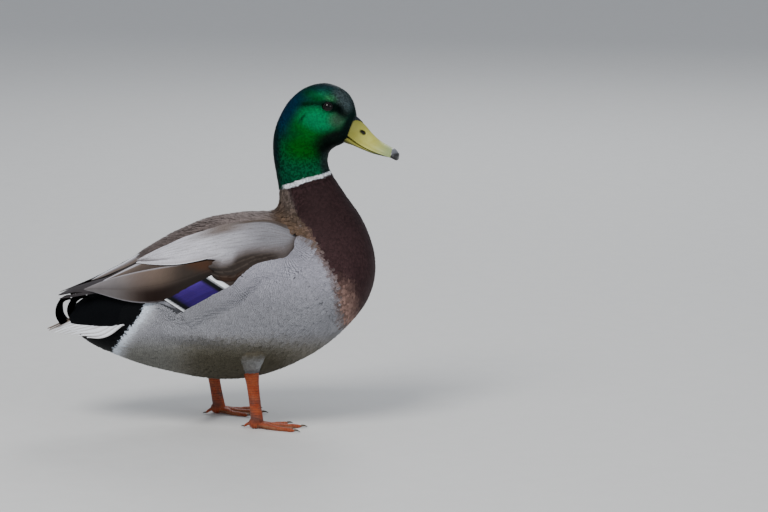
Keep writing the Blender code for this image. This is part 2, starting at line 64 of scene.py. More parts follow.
# The body, tail to bill: back x z, underside x z, half width, level of the widest place, taper, squareness
BODY = (
    (-163, 119, -159, 103, 11, 0.50, 0.00, 2.0),
    (-144, 134, -143, 87, 22, 0.50, 0.00, 2.0),
    (-93, 173, -121, 76, 39, 0.48, 0.05, 2.1),
    (-72, 186.5, -85, 63, 53, 0.47, 0.05, 2.2),
    (-50, 199, -49, 54.5, 63.5, 0.47, 0.04, 2.25),
    (-13, 215, -11, 48, 69, 0.48, 0.03, 2.25),
    (17, 222.5, 27, 49, 70.5, 0.48, 0.03, 2.25),
    (40, 224, 66, 60, 69, 0.48, 0.05, 2.2),
    (53, 225.5, 108, 83, 64.5, 0.46, 0.12, 2.15),
    (57.5, 229, 142.5, 116, 58, 0.43, 0.20, 2.1),
    (59, 232.5, 158.3, 146, 51, 0.42, 0.25, 2.1),
    (59.8, 236, 160, 178, 43, 0.44, 0.22, 2.1),
    (60.2, 239.8, 148, 214, 35.5, 0.47, 0.14, 2.05),
    (60.2, 244.2, 129, 243, 29, 0.50, 0.06, 2.0),
    (59.8, 250, 115.3, 265, 25, 0.50, 0.02, 2.0),
    (57.4, 263, 111.5, 276, 23.0, 0.50, 0.00, 2.0),
    (53.8, 285, 112.9, 286.8, 22.2, 0.48, 0.00, 2.0),
    (54.4, 304.5, 117.2, 291.8, 22.2, 0.46, 0.02, 2.05),
    (60.1, 322.5, 121.6, 294.7, 22.6, 0.45, 0.05, 2.1),
    (71.6, 341.4, 124.8, 296, 22.8, 0.45, 0.08, 2.15),
    (88.5, 355, 126.9, 297, 22.2, 0.46, 0.10, 2.2),
    (109.2, 360.2, 129.1, 298.2, 20.6, 0.46, 0.10, 2.2),
    (128.2, 354.6, 130.7, 298.8, 17.6, 0.44, 0.10, 2.15),
    (138.6, 343.6, 132.2, 299.5, 14.4, 0.42, 0.10, 2.1),
    (143.0, 327.8, 134.0, 300.4, 11.8, 0.42, 0.10, 2.0),
)

COLLAR_LOW, COLLAR_HIGH = 13.75, 14.25
TURN_START, NAPE = 12.3, 17  # the head turns between these stations

# The folded wing: x, half width, centre height, half height, upper and lower edge in degrees above level
WING = (
    (86, 50, 153, 62, 56, 48),
    (71, 63.5, 147.0, 78.0, 66, 33),
    (57, 70.5, 142.5, 85.0, 70, 27),
    (35, 75.0, 138.0, 89.5, 70, 25),
    (12, 75.5, 134.5, 91.0, 69, 14),
    (-15, 74.0, 132.0, 87.0, 68, 6),
    (-43, 69.0, 132.0, 75.0, 68, -2),
    (-68, 60.0, 136.0, 56.5, 68, 0),
    (-97, 48.5, 138.5, 38.0, 68, 0),
    (-118, 38.5, 140.5, 24.5, 66, 0),
    (-140, 27.0, 143.0, 10.5, 62, 0),
    (-158, 19.0, 141.0, 4.5, 58, 0),
    (-171.5, 13.0, 137.4, 2.2, 50, 10),
)

# The tail fan: x, half width, height at the middle, drop at the edge
TAIL = (
    (-102, 41.0, 124.0, 15.0),
    (-116, 40.0, 122.5, 20.0),
    (-130, 37.5, 119.0, 20.5),
    (-146, 34.0, 113.5, 15.5),
    (-160, 27.5, 109.0, 11.0),
    (-172, 18.0, 104.8, 6.5),
    (-180, 9.5, 101.6, 2.8),
    (-185.2, 3.0, 99.6, 0.8),
)

# The bill: ridge or top x z, edge or bottom x z, half width
UPPER_BILL = (
    (134, 332, 123, 313, 9.0),
    (144.5, 324.8, 132.5, 307.1, 10.8),
    (153, 317.2, 143, 299.6, 10.8),
    (160, 309.2, 152, 294.8, 10.9),
    (168.5, 301.8, 162.5, 290.8, 11.3),
    (178.3, 296.5, 174, 287.4, 11.6),
    (184.2, 293.2, 181.2, 285.0, 10.1),
    (187.2, 290.2, 185.8, 284.2, 6.8),
    (188.2, 287.6, 187.4, 284.8, 2.6),
)
LOWER_BILL = (
    (124, 313.4, 124, 304, 7.6),
    (132, 308.2, 131.5, 298.4, 9.4),
    (143, 300.8, 141, 294.2, 9.6),
    (152, 296.2, 151, 290.5, 9.8),
    (162.5, 292.2, 162, 286.8, 10.2),
    (174, 289.2, 173.5, 284.6, 10.4),
    (181.2, 287.2, 180.9, 283.4, 8.4),
    (184.4, 286.2, 184.3, 283.6, 4.6),
)

# The feathered thigh: height, distance outward from the leg, fore-and-aft and sideways radius
THIGH = (
    (96, 15, 27, 10),
    (86, 15, 21.5, 11.2),
    (77, 12.5, 15.8, 11.2),
    (70, 8.5, 12, 10.2),
    (64.5, 4, 9.7, 8.6),
    (60.3, 0.8, 8.5, 7.2),
)

# The bare leg: height, fore-and-aft and sideways radius
SHANK = (
    (60, 7.8, 6.4),
    (54.5, 7.6, 6.2),
    (47, 6.9, 5.2),
    (38, 6.5, 4.8),
    (25, 6.4, 4.7),
    (15, 6.7, 5.3),
    (9, 6.9, 5.8),
)

# Each toe: heading in degrees towards the middle of the duck, length, root and tip radius
TOES = {"inner": (30, 36.5, 3.8, 2.1), "middle": (3, 46.5, 4.2, 2.2), "outer": (-25, 44, 3.8, 2.1)}
ANKLES = {-1: 37.0, 1: -6.5}  # x of the right and left ankle
HOCKS = {-1: 31.2, 1: -15.5}  # x of the right and left hock
LEG_SPREAD = 36.0
HOCK_HEIGHT, ANKLE_HEIGHT = 60, 8.5
EYE = (116.6, 14.5, 337.4)
EYE_RADIUS = 6.2


# -------- curves and surfaces


def spline(table, place):
    """Catmull-Rom interpolation of a table's rows at places counted in rows."""
    table = np.asarray(table, float)
    place = np.clip(np.asarray(place, float), 0, len(table) - 1)
    low = np.minimum(place.astype(int), len(table) - 2)
    t = (place - low)[..., None]
    last = len(table) - 1
    p0, p1, p2, p3 = (table[np.clip(low + k, 0, last)] for k in (-1, 0, 1, 2))
    bend = (2 * p0 - 5 * p1 + 4 * p2 - p3) * t**2 + (3 * p1 - p0 - 3 * p2 + p3) * t**3
    return 0.5 * (2 * p1 + (p2 - p0) * t + bend)


def ramp(low, high, value):
    """A smooth rise from 0 at low to 1 at high."""
    t = np.clip((np.asarray(value, float) - low) / (high - low), 0, 1)
    return t * t * (3 - 2 * t)


def unit(vectors):
    return vectors / np.maximum(np.linalg.norm(vectors, axis=-1, keepdims=True), 1e-12)


def signed_power(value, power):
    return np.sign(value) * np.abs(value) ** power


def distances(line):
    """How far along a line of points each of them lies."""
    return np.concatenate([[0], np.cumsum(np.linalg.norm(np.diff(line, axis=0), axis=1))])


def on_line(line, marks, at):
    """The points of a line at places between its marks."""
    return np.stack([np.interp(at, marks, line[:, k]) for k in range(line.shape[1])], -1)


def resample(line, count):
    line = np.asarray(line, float)
    marks = distances(line)
    return on_line(line, marks, np.linspace(0, marks[-1], count))


def softened(line, times=2):
    for _ in range(times):
        line[1:-1] = 0.25 * line[:-2] + 0.5 * line[1:-1] + 0.25 * line[2:]
    return line


def turned(points, share=1.0):
    """Points of the neck or head, in metres, after their share of the head's turn."""
    angle = -HEAD_TURN * np.asarray(share, float)
    x, y = points[..., 0] - NECK_AXIS_X * MM, points[..., 1]
    across = np.stack([x * np.cos(angle) - y * np.sin(angle), x * np.sin(angle) + y * np.cos(angle)], -1)
    return np.concatenate([across + [NECK_AXIS_X * MM, 0], points[..., 2:]], -1)


def egg(top_x, top_z, low_x, low_z, half_width, level, taper, squareness, turn):
    """A point of an egg-shaped ring that stands on the line from low to top."""
    angle = 2 * math.pi * turn
    across = signed_power(np.cos(angle), 2 / squareness)
    up = signed_power(np.sin(angle), 2 / squareness)
    share = level + up * np.where(up > 0, 1 - level, level)
    x = low_x + (top_x - low_x) * share
    z = low_z + (top_z - low_z) * share
    y = half_width * across * (1 - taper * up)
    return np.stack(np.broadcast_arrays(x, y, z), -1) * MM


def body(station, turn, straight=False):
    """A point of the plumage's outline on the body. straight leaves the head unturned."""
    station, turn = np.broadcast_arrays(np.asarray(station, float), np.asarray(turn, float))
    columns = np.moveaxis(spline(BODY, station), -1, 0)
    # Behind the first row the outline runs straight on
    points = egg(*columns, turn) + np.minimum(station, 0)[..., None] * [0.019, 0, -0.0155]
    if straight:
        return points
    return turned(points, ramp(TURN_START, NAPE, station))


def thigh(side):
    def point(station, turn):
        station, turn = np.broadcast_arrays(np.asarray(station, float), np.asarray(turn, float))
        height, outward, fore_aft, across = np.moveaxis(spline(THIGH, station), -1, 0)
        angle = 2 * math.pi * turn
        x = HOCKS[side] + fore_aft * np.sin(angle)
        y = side * (LEG_SPREAD + outward + across * np.cos(angle))
        return np.stack([x, y, height], -1) * MM
    return point


def frame_at(surface, station, turn, flip=1.0):
    """Points of a surface with their outward normals."""
    ahead = surface(station + 0.02, turn) - surface(station - 0.02, turn)
    round_ = surface(station, turn + 0.004) - surface(station, turn - 0.004)
    return surface(station, turn), unit(np.cross(round_, ahead)) * flip


def seen_from_side(points):
    """How far along and how high points lie in the profile view, in millimetres, the same for both sides."""
    x, y, z = points[..., 0] / MM, -np.abs(points[..., 1]) / MM, points[..., 2] / MM - PROFILE_Z
    size = PROFILE_DISTANCE / (PROFILE_DISTANCE + y * FLAT - z * RISE)
    return PROFILE_X + (x - PROFILE_X) * size, PROFILE_LEVEL + (z * FLAT + y * RISE) * size


def from_side(along, high, y):
    """The place that lies at along and high in the profile view, y millimetres from the middle."""
    size = 1.0
    for _ in range(4):
        x = PROFILE_X + (along - PROFILE_X) / size
        z = ((high - PROFILE_LEVEL) / size + np.abs(y) * RISE) / FLAT
        size = PROFILE_DISTANCE / (PROFILE_DISTANCE - np.abs(y) * FLAT - z * RISE)
    return np.stack(np.broadcast_arrays(x, y, z + PROFILE_Z), -1) * MM


def wing_shape(x):
    rows = np.linspace(0, len(WING) - 1, 400)
    shape = spline(WING, rows)
    return np.moveaxis(spline(WING, np.interp(-x, -shape[:, 0], rows)), -1, 0)


def wing_surface(x, angle):
    _, half_width, centre, half_height, *_ = wing_shape(x)
    return np.stack([x, half_width * np.cos(angle), centre + half_height * np.sin(angle)], -1) * MM


def wing_point(x, angle, height, side):
    """A place on the folded wing's outside: x, angle above level, height over the outside in millimetres."""
    ahead = wing_surface(x + 1, angle) - wing_surface(x - 1, angle)
    up = wing_surface(x, angle + 0.01) - wing_surface(x, angle - 0.01)
    point = wing_surface(x, angle) + unit(np.cross(up, ahead)) * (np.asarray(height) * MM)[..., None]
    return point * [1, side, 1]


def on_wing(along, high, height, side):
    """The same for a place given in the profile view."""
    size = 1.015
    for _ in range(4):
        x = PROFILE_X + (along - PROFILE_X) / size
        _, half_width, centre, half_height, *_ = wing_shape(x)
        a, b = half_height * FLAT, half_width * RISE
        level = PROFILE_LEVEL + (high - PROFILE_LEVEL) / size
        sine = np.clip((level - centre * FLAT) / np.hypot(a, b), -0.99, 0.99)
        angle = np.arctan2(b, a) + np.arcsin(sine)
        nearer = half_width * np.cos(angle) * FLAT + (centre + half_height * np.sin(angle) - PROFILE_Z) * RISE
        size = PROFILE_DISTANCE / (PROFILE_DISTANCE - nearer)
    return wing_point(x, angle, height, side)


def on_tail(x, y, height, side=1):
    """A place on the tail fan from above, with a height over its middle, in millimetres."""
    rows = np.linspace(0, len(TAIL) - 1, 200)
    shape = spline(TAIL, rows)
    _, half_width, middle, drop = np.moveaxis(spline(TAIL, np.interp(-x, -shape[:, 0], rows)), -1, 0)
    z = middle - drop * np.minimum(np.abs(y) / half_width, 1.15) ** 1.5
    return np.stack([x, y * side, z + height], -1) * MM


# -------- meshes


def make_mesh(name, points, faces, layers=None, patches=None, normals=None):
    """An object from points, face arrays, values per point and a map with a place per point or per corner."""
    mesh = bpy.data.meshes.new(name)
    corners = np.concatenate([np.asarray(f, int).ravel() for f in faces])
    sides = np.concatenate([np.full(len(f), f.shape[1]) for f in faces])
    mesh.vertices.add(len(points))
    mesh.vertices.foreach_set("co", np.asarray(points, np.float32).ravel())
    mesh.loops.add(len(corners))
    mesh.loops.foreach_set("vertex_index", corners.astype(np.int32))
    mesh.polygons.add(len(sides))
    mesh.polygons.foreach_set("loop_start", (np.cumsum(sides) - sides).astype(np.int32))
    mesh.update(calc_edges=True)
    mesh.shade_smooth()
    if normals is not None:
        mesh.normals_split_custom_set_from_vertices(np.asarray(normals, np.float32))
    for key, values in (layers or {}).items():
        values = np.asarray(values, np.float32)
        if values.ndim == 2:
            layer = mesh.attributes.new(key, "FLOAT_COLOR", "POINT")
            full = np.ones((len(values), 4), np.float32)
            full[:, :3] = values
            layer.data.foreach_set("color", full.ravel())
        else:
            layer = mesh.attributes.new(key, "FLOAT", "POINT")
            layer.data.foreach_set("value", values)
    if patches is not None:
        places = np.asarray(patches, np.float32)
        places = places[corners] if len(places) == len(points) else places
        mesh.uv_layers.new(name="OFBake").data.foreach_set("uv", places.ravel())
    made = bpy.data.objects.new(name, mesh)
    bpy.context.scene.collection.objects.link(made)
    return made


def grid_faces(rows, columns, closed=False):
    """Four-sided faces of a grid of points, which may close on itself along its columns."""
    row, column = np.arange(rows - 1)[:, None], np.arange(columns if closed else columns - 1)
    here, after = row * columns + column, row * columns + (column + 1) % columns
    return np.stack([here, here + columns, after + columns, after], -1).reshape(-1, 4)


def closed_tube(rings, ends=None):
    """Points and faces of a tube through rings of points, closed by a fan at both ends."""
    rows, sides = rings.shape[:2]
    ends = (rings[0].mean(0), rings[-1].mean(0)) if ends is None else ends
    around = np.arange(sides)
    after = (around + 1) % sides
    first, last, start = rows * sides, rows * sides + 1, (rows - 1) * sides
    caps = np.concatenate([np.stack([after, around, 0 * around + first], -1),
                           np.stack([around + start, after + start, 0 * around + last], -1)])
    return np.concatenate([rings.reshape(-1, 3), ends]), [grid_faces(rows, sides, closed=True)[:, ::-1], caps]


def sheet_faces(rows, columns):
    """Faces of a thin sheet. Its points are the grid of one side and then that of the other."""
    each = rows * columns
    index = np.arange(each).reshape(rows, columns)
    over = grid_faces(rows, columns)
    rims = [np.stack([line[:-1], line[1:], line[1:] + each, line[:-1] + each], -1)
            for line in (index[:, 0][::-1], index[:, -1], index[0], index[-1][::-1])]
    return [over, over[:, ::-1] + each] + rims


def finish_piece(made, finish, slot, *nodes):
    made.data.materials.append(finish)
    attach(made, "root")
    if nodes:
        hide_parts(*nodes)


VANE_SETS = {  # places along a vane and its width at each
    4: (np.array([0.0, 0.4, 0.85, 1.0]), np.array([0.1, 1.0, 0.8, 0.0])),
    5: (np.array([0.0, 0.3, 0.65, 0.92, 1.0]), np.array([0.1, 0.85, 1.0, 0.62, 0.0])),
    6: (np.array([0.0, 0.22, 0.48, 0.74, 0.93, 1.0]), np.array([0.1, 0.72, 1.0, 0.95, 0.58, 0.0])),
}


def vanes(name, middle, normal, half, camber, layers, chart, course, rows, relief):
    """Many small feathers as one mesh, each a closed vane through its row of middle points.

    half is half a vane's width in millimetres, camber how far it bulges as a share of that, and course how
    far along its track each row lies.
    """
    count = len(middle)
    shares, shape = VANE_SETS[rows]
    along = unit(np.gradient(middle, axis=1))
    left = unit(np.cross(normal, along))
    width = half[:, None] * MM * shape
    reach = left * (width * chance.uniform(0.9, 1.1, (count, rows)))[..., None]
    ridge = middle + normal * (width * camber)[..., None]
    inner = slice(1, rows - 1)
    body_points = np.stack([(middle + reach)[:, inner], ridge[:, inner], (middle - reach)[:, inner]], 2)
    points = np.concatenate([middle[:, :1], body_points.reshape(count, -1, 3), middle[:, -1:]], 1)
    size = points.shape[1]
    base = (np.arange(count) * size)[:, None, None]
    tip = size - 1
    lefts = 1 + 3 * np.arange(rows - 2)
    mids, rights = lefts + 1, lefts + 2
    strips = ((lefts, mids), (mids, rights), (rights, lefts))
    quads = [[b[k], b[k + 1], a[k + 1], a[k]] for k in range(rows - 3) for a, b in strips]
    tris = [[0, b[0], a[0]] for a, b in strips] + [[b[-1], tip, a[-1]] for a, b in strips]
    faces = [(np.array(quads)[None] + base).reshape(-1, 4), (np.array(tris)[None] + base).reshape(-1, 3)]
    spread_of = np.concatenate([[0], np.repeat(np.arange(1, rows - 1), 3), [rows - 1]])
    across = np.concatenate([[0], np.tile([1, 0, -1], rows - 2), [0]])
    spread = {key: np.repeat(value, size, axis=0) for key, value in layers.items()}
    spread["along"] = np.tile(shares[spread_of], count)
    spread["across"] = np.tile(across, count)
    spread["course"] = course[:, spread_of].ravel()
    spread["side"] = (half[:, None] * across * shape[spread_of]).ravel()
    patches = chart[:, None] + np.stack([across * 0.0015, shares[spread_of] * 0.003], -1)[None]
    # Soft plumage is shaded mostly as the body under it, with some relief across and along each vane
    fore = shares[spread_of] * 1.4 - 0.7
    tilt = across[:, None] * left[:, spread_of] + fore[:, None] * along[:, spread_of]
    normals = unit(normal[:, spread_of] + relief * tilt).reshape(-1, 3)
    return make_mesh(name, points.reshape(-1, 3), faces, spread, patches.reshape(-1, 2), normals)


def plates(name, top, drop, layers, flipped, normals):
    """Large feathers as one mesh: grids of points with a second layer a little under them."""
    count, rows, columns = top.shape[:3]
    both = np.stack([top, top + drop], 1).reshape(-1, 3)
    each = rows * columns
    faces = np.concatenate(sheet_faces(rows, columns))
    sets = np.where(np.asarray(flipped)[:, None, None], faces[None, :, ::-1], faces[None])
    base = (np.arange(count) * 2 * each)[:, None, None]
    # On the map each feather has a cell for its upper side, framed by its rim, and one for its under side
    kind = np.arange(len(faces)) // ((rows - 1) * (columns - 1))
    cell = 2 * np.arange(count)[:, None] + (kind == 1)
    cells = math.ceil(math.sqrt(2 * count))
    place = np.stack([sets % each % columns / (columns - 1), sets % each // columns / (rows - 1)], -1) - 0.5
    framed = np.where((kind[None, :, None] > 1) & (sets >= each), 0.94, 0.86)
    corner = np.stack([cell % cells, cell // cells], -1)[:, :, None]
    patches = (corner + 0.5 + place * framed[..., None]) / cells
    spread = {}
    for key, value in layers.items():
        value = np.asarray(value, float).reshape((count, 1, each) + np.shape(value)[3:])
        value = np.repeat(value, 2, axis=1)
        spread[key] = value.reshape((count * 2 * each,) + value.shape[3:])
    shading = np.repeat(normals.reshape(count, 1, each, 3), 2, axis=1).reshape(-1, 3)
    return make_mesh(name, both, [(sets + base).reshape(-1, 4)], spread, patches.reshape(-1, 2), shading)


# -------- markings, shared by skin and feathers


def rgb(*values):
    return np.array(values, float)


BLACK, GREY, PALE = rgb(0.0022, 0.0026, 0.0034), rgb(0.34, 0.345, 0.37), rgb(0.50, 0.49, 0.53)
WHITE, BROWN, UMBER = rgb(0.80, 0.82, 0.86), rgb(0.045, 0.033, 0.027), rgb(0.150, 0.115, 0.095)
FAWN, RUST, CHESTNUT = rgb(0.23, 0.185, 0.155), rgb(0.10, 0.042, 0.020), rgb(0.037, 0.0185, 0.0195)
VIOLET = rgb(0.032, 0.013, 0.105)


def mix(low, high, share):
    share = np.asarray(share, float)[..., None]
    return low * (1 - share) + high * share


def painted(colour, *coats):
    """A colour with others laid over it in turn. Each comes with the share in which it covers."""
    for tone, share in coats:
        colour = mix(colour, tone, share)
    return colour


def line_at(value, line):
    """x along a border at a height, from the border's points."""
    line = np.asarray(sorted(line, key=lambda p: p[1]), float)
    return np.interp(value, line[:, 1], line[:, 0])


def line_at_x(value, line):
    line = np.asarray(sorted(line), float)
    return np.interp(value, line[:, 0], line[:, 1])


def spot(along, high, place, size, tilt=0.0, soft=0.5):
    """1 inside a tilted oval, falling off to 0 at its rim."""
    c, s = math.cos(math.radians(tilt)), math.sin(math.radians(tilt))
    a, h = along - place[0], high - place[1]
    reach = np.hypot((a * c + h * s) / size[0], (h * c - a * s) / size[1])
    return 1 - ramp(1 - soft, 1 + soft, reach)


# Where the flank's plumage closes over the folded wing, from its back end to the shoulder
FLANK_TOP = ((-125, 134), (-103, 127.5), (-82.4, 124.5), (-64.6, 125), (-43.3, 113), (-37, 118.8),
             (-20, 127.8), (-4.8, 136), (4.1, 140.6), (12.1, 145), (16.6, 151), (23.7, 157), (34.4, 165.2),
             (48.7, 168.9), (66.6, 171.8), (75.5, 182), (80, 195), (86, 215), (92, 235))
CHESTNUT_EDGE = ((66, 300), (65.7, 245.2), (78.4, 217.2), (91.1, 201.9), (103.8, 179), (110.2, 163.8),
                 (120.4, 146), (124.2, 128.1), (126.8, 105.2), (131, 96), (150, 84), (170, 70))
RUMP_EDGE = ((-96, 175), (-84, 150), (-82.4, 123.4), (-88.3, 109.3), (-97.1, 100.5), (-108.8, 84.3),
             (-114.7, 78.4), (-120, 60))


def head_colours(along, high):
    colour = np.broadcast_to(rgb(0.002, 0.034, 0.024), along.shape + (3,))
    for place, size, tilt, soft, tint in (
        ((90, 266), (32, 20), 0, 0.7, (0.003, 0.075, 0.026)),
        ((90, 290), (28, 16), 10, 0.6, (0.001, 0.082, 0.006)),
        ((100, 312), (30, 17), -8, 0.5, (0.001, 0.115, 0.013)),
        # the head's green, brightened on the cheek by painted sheen
        ((105, 316), (24, 11), -14, 0.5, (0.002, 0.205, 0.066)),
        ((99, 343.5), (17, 4.0), -8, 0.6, (0.001, 0.042, 0.014)),
        ((114, 342), (9, 4.5), -16, 0.7, (0.004, 0.040, 0.018)),
        ((101, 338.8), (10, 3.6), 0, 0.7, (0.0006, 0.030, 0.007)),
        ((116.5, 339), (7, 3.2), -8, 0.8, (0.016, 0.090, 0.030)),
        # painted olive sheen below the eye, towards the bill
        ((121.5, 317), (9, 8), 0, 0.8, (0.040, 0.095, 0.048)),
        ((88, 334), (25, 2.2), 2, 0.6, (0.001, 0.018, 0.006)),
        ((122, 298), (24, 11), 14, 0.55, (0.006, 0.010, 0.007)),
        ((111, 285), (12, 12), 60, 0.6, (0.003, 0.008, 0.005)),
        ((114, 262), (9, 19), 12, 0.5, (0.006, 0.020, 0.016)),
        # painted grey sheen on the front of the neck
        ((110, 272), (5, 9), 0, 0.9, (0.026, 0.042, 0.034)),
        ((126.5, 328), (11, 7.5), -50, 0.5, (0.006, 0.011, 0.008)),
        ((131, 344), (12, 18), 32, 0.5, (0.044, 0.058, 0.054)),
        ((120, 329.8), (7, 4.0), -20, 0.7, (0.001, 0.003, 0.0025)),
        ((131.5, 310.5), (17, 5), 66, 0.6, (0.004, 0.010, 0.008)),
        ((103, 358), (28, 7), -8, 0.5, (0.012, 0.030, 0.032)),
        ((65, 330), (13, 32), -26, 0.5, (0.003, 0.024, 0.045)),
        ((54, 288), (6, 50), 2, 0.7, (0.003, 0.014, 0.015)),
        ((84, 319), (5, 1.4), 50, 0.9, (0.001, 0.045, 0.014)),
        ((111.5, 331), (9, 6.2), -12, 0.45, (0.002, 0.006, 0.004)),
    ):
        colour = mix(colour, rgb(*tint), spot(along, high, place, size, tilt, soft))
    return colour


def markings(along, high, station):
    """Colour, fine cross bars, sheen and speckling at places in the profile view."""
    # the grey flank, with painted shadow under the folded wing, darker at the shoulder, and painted shade
    # underneath and along the fold over the thigh
    upper = ramp(105, 165, high) * ramp(-60, 10, along)
    colour = mix(GREY * rgb(0.98, 0.97, 0.98), GREY * rgb(1.2, 1.16, 1.24), upper)
    # painted shadow of the folded wing on the middle of the flank
    colour = colour * (1 - 0.14 * spot(along, high, (22, 119), (62, 24), 0, 0.7))[..., None]
    colour = colour * (1 - 0.24 * spot(along, high, (77, 181), (19, 15), 0, 0.7))[..., None]
    hind = ramp(-15, -65, along)
    belly = mix(rgb(0.215, 0.20, 0.165), rgb(0.225, 0.225, 0.205), hind)
    colour = mix(colour, belly, ramp(98, 70, high))
    # painted shade under the belly, fading out towards the tail
    belly = ramp(94, 64, high) * ramp(92, 45, along + (high - 75) * 0.6) * (1 - 0.88 * hind)
    colour = mix(colour, rgb(0.085, 0.076, 0.053), belly)
    # a painted shadow line in the fold between the flank and the thigh
    colour = colour * (1 - 0.36 * spot(along, high, (-26, 84), (36, 5), -6, 0.8))[..., None]
    # the brown back
    back = ramp(9, 17, high - line_at_x(along, FLANK_TOP))
    tone = mix(BLACK * 3, UMBER * rgb(0.95, 0.98, 1.1), ramp(-112, -66, along))
    tone = mix(tone, UMBER * rgb(1.15, 1.2, 1.35), ramp(-30, 10, along))
    colour = mix(colour, mix(tone, rgb(0.082, 0.054, 0.038), ramp(38, 60, along)), back)
    # the black rump and the white patch before it
    past_rump = along - line_at(high, RUMP_EDGE)
    rump = ramp(1.5, -1.5, past_rump)
    patch = ramp(22, 4, past_rump) * ramp(150, 134, high)
    pale = mix(GREY * 1.3, WHITE * rgb(0.85, 0.91, 0.97), ramp(14, 3, past_rump))
    colour = mix(mix(colour, pale, 0.95 * patch), BLACK, rump)
    bars = (1 - 0.3 * back) * (1 - patch) * (1 - rump)
    # the mantle, its golden brown edge over the shoulder, and the chestnut breast
    ahead = along - line_at(high, CHESTNUT_EDGE)
    mantle = ramp(-20, -3, ahead) * ramp(165, 195, high)
    brown = mix(rgb(0.085, 0.058, 0.042), rgb(0.115, 0.088, 0.074), ramp(212, 228, high))
    colour = mix(colour, brown, mantle)
    behind = spot(along, high, (79, 200), (24, 5.2), -36)
    before = spot(along, high, (91, 192), (14, 4.5), -58)
    breast = ramp(-1.5, 2.0, ahead)
    chest = painted(
        CHESTNUT * 1.1,
        (CHESTNUT * 0.74, ramp(170, 232, high)),
        (rgb(0.245, 0.150, 0.122), ramp(160, 126, high) * ramp(24, 5, ahead) * 0.9),
        (rgb(0.115, 0.094, 0.086), ramp(78, 66, along + (high - 232) * 0.3) * ramp(205, 225, high)),
    )
    colour = painted(
        colour,
        (rgb(0.122, 0.077, 0.050), np.maximum(behind, before)),
        (rgb(0.16, 0.10, 0.08), ramp(-9, -1, ahead) * ramp(215, 190, high) * 0.8),
        (chest, breast),
    )
    # the white ring, arched at the sides of the neck, and the green head
    arch = 0.15 * ramp(25, 0, np.abs(along - 86))
    low = COLLAR_LOW + 0.06 + 0.17 * ramp(66, 112, along) + 0.8 * arch
    ring = ramp(low - 0.02, low + 0.02, station)
    head = ramp(COLLAR_HIGH - 0.06, COLLAR_HIGH - 0.02, station - arch)
    greens = np.maximum(head, ring * ramp(67, 62, along))
    colour = painted(colour, (WHITE * 0.95, ring), (head_colours(along, high), greens))
    bars = bars * (1 - breast) * (1 - ring)
    sheen = np.maximum(0.12 * rump * (1 - ring), head)
    edge = ramp(14, 0, np.abs(ahead + 1)) * ramp(178, 140, high) * (0.35 + 0.65 * breast)
    rough = 0.55 * ramp(300, 262, high) + 0.5 * spot(along, high, (128, 344), (14, 20), 30, 0.6)
    speckle = rough * head + np.maximum(edge, 0.25 * breast) * (1 - ring) + 0.3 * ring * (1 - head)
    speckle = speckle + 0.06 * patch * (1 - rump) + 0.5 * mantle * (1 - breast) + 0.35 * back
    return colour, bars, sheen, speckle


def mark_body(station, turn, stray=0.0):
    """The same for places on the body. Both sides are alike, and the borders may stray a little."""
    if stray:
        station = station + chance.normal(0, stray, station.shape)
        turn = turn + chance.normal(0, stray * 0.05, turn.shape)
    points = body(station, turn, straight=True)
    points[..., 1] = -np.abs(points[..., 1])
    points = turned(points, ramp(TURN_START, NAPE, station))
    points[..., 1] = np.minimum(points[..., 1], 0)
    return markings(*seen_from_side(points), station)


# -------- skin


def coat_depth(station):
    """How far the skin lies under the plumage's outline, in millimetres."""
    stations = (-1, 0.5, 2.5, 7.5, 9.5, 12, 14, 17, 21, 23, 24)
    return np.interp(station, stations, (2, 2.5, 4, 4.5, 4, 3.2, 2.2, 1.4, 1.1, 0.8, 0.4))


def even_stations(count, start=0.0, end=24.0):
    """Stations spread evenly along the body."""
    fine = np.linspace(start, end, 3000)
    middle = np.mean([body(fine, turn, True) for turn in (0.0, 0.25, 0.75)], axis=0)
    reach = distances(middle)
    return np.interp(np.linspace(0, reach[-1], count), reach, fine)


def chart_place(station, turn):
    """Where a place on the body lies on the skin's map."""
    return np.stack(np.broadcast_arrays(0.02 + 0.96 * turn, 0.24 + 0.03 * station), -1)


def eye_centre(side):
    return turned(np.array([EYE[0], EYE[1] * side, EYE[2]]) * MM)


def flesh_part(name, points, faces, tone, leg=0.0, web=0.0):
    """A part that is joined to the skin. It has the skin's layers, without bars and sheen."""
    zero = np.zeros(len(points))
    layers = {"bars": zero, "sheen": zero, "leg": zero + leg, "web": zero + web}
    return make_mesh(name, points, faces, {"plumage": np.broadcast_to(tone, (len(points), 3)), **layers})


def build_skin():
    stations, rounds = even_stations(250, 0.3), 168
    turns = np.arange(rounds + 1) / rounds
    grid_t, grid_a = np.meshgrid(stations, turns, indexing="ij")
    points, normal = frame_at(body, grid_t, grid_a)
    points = points - normal * (coat_depth(grid_t) * MM)[..., None]
    for side in (-1, 1):
        distance = np.linalg.norm(points - eye_centre(side), axis=-1)
        share = 1 - ramp(0.85, 1.5, distance / (EYE_RADIUS * MM))
        points = points - normal * (share * 2.6 * MM)[..., None]
    points[:, -1] = points[:, 0]
    colour, bars, sheen, _ = mark_body(grid_t, grid_a)
    ends = (points[0].mean(0) + [-0.002, 0, 0], points[-1].mean(0) + [0.001, 0, 0])
    flat, faces = closed_tube(points[:, :-1], ends)
    tone = np.concatenate([colour[:, :-1].reshape(-1, 3), [BLACK, BLACK]])
    bars, sheen = (np.append(layer[:, :-1], [0, 0]) for layer in (bars, sheen))
    layers = {"plumage": tone, "bars": bars, "sheen": sheen, "leg": np.zeros(len(flat))}
    return make_mesh("skin", flat, faces, layers)


# -------- legs and feet


def toe_heading(side, name):
    """The way a toe points, level with the ground."""
    if name == "hind":
        return unit(np.array([-0.94, -side * 0.34, 0]))
    angle = -side * math.radians(TOES[name][0])
    return np.array([math.cos(angle), math.sin(angle), 0])


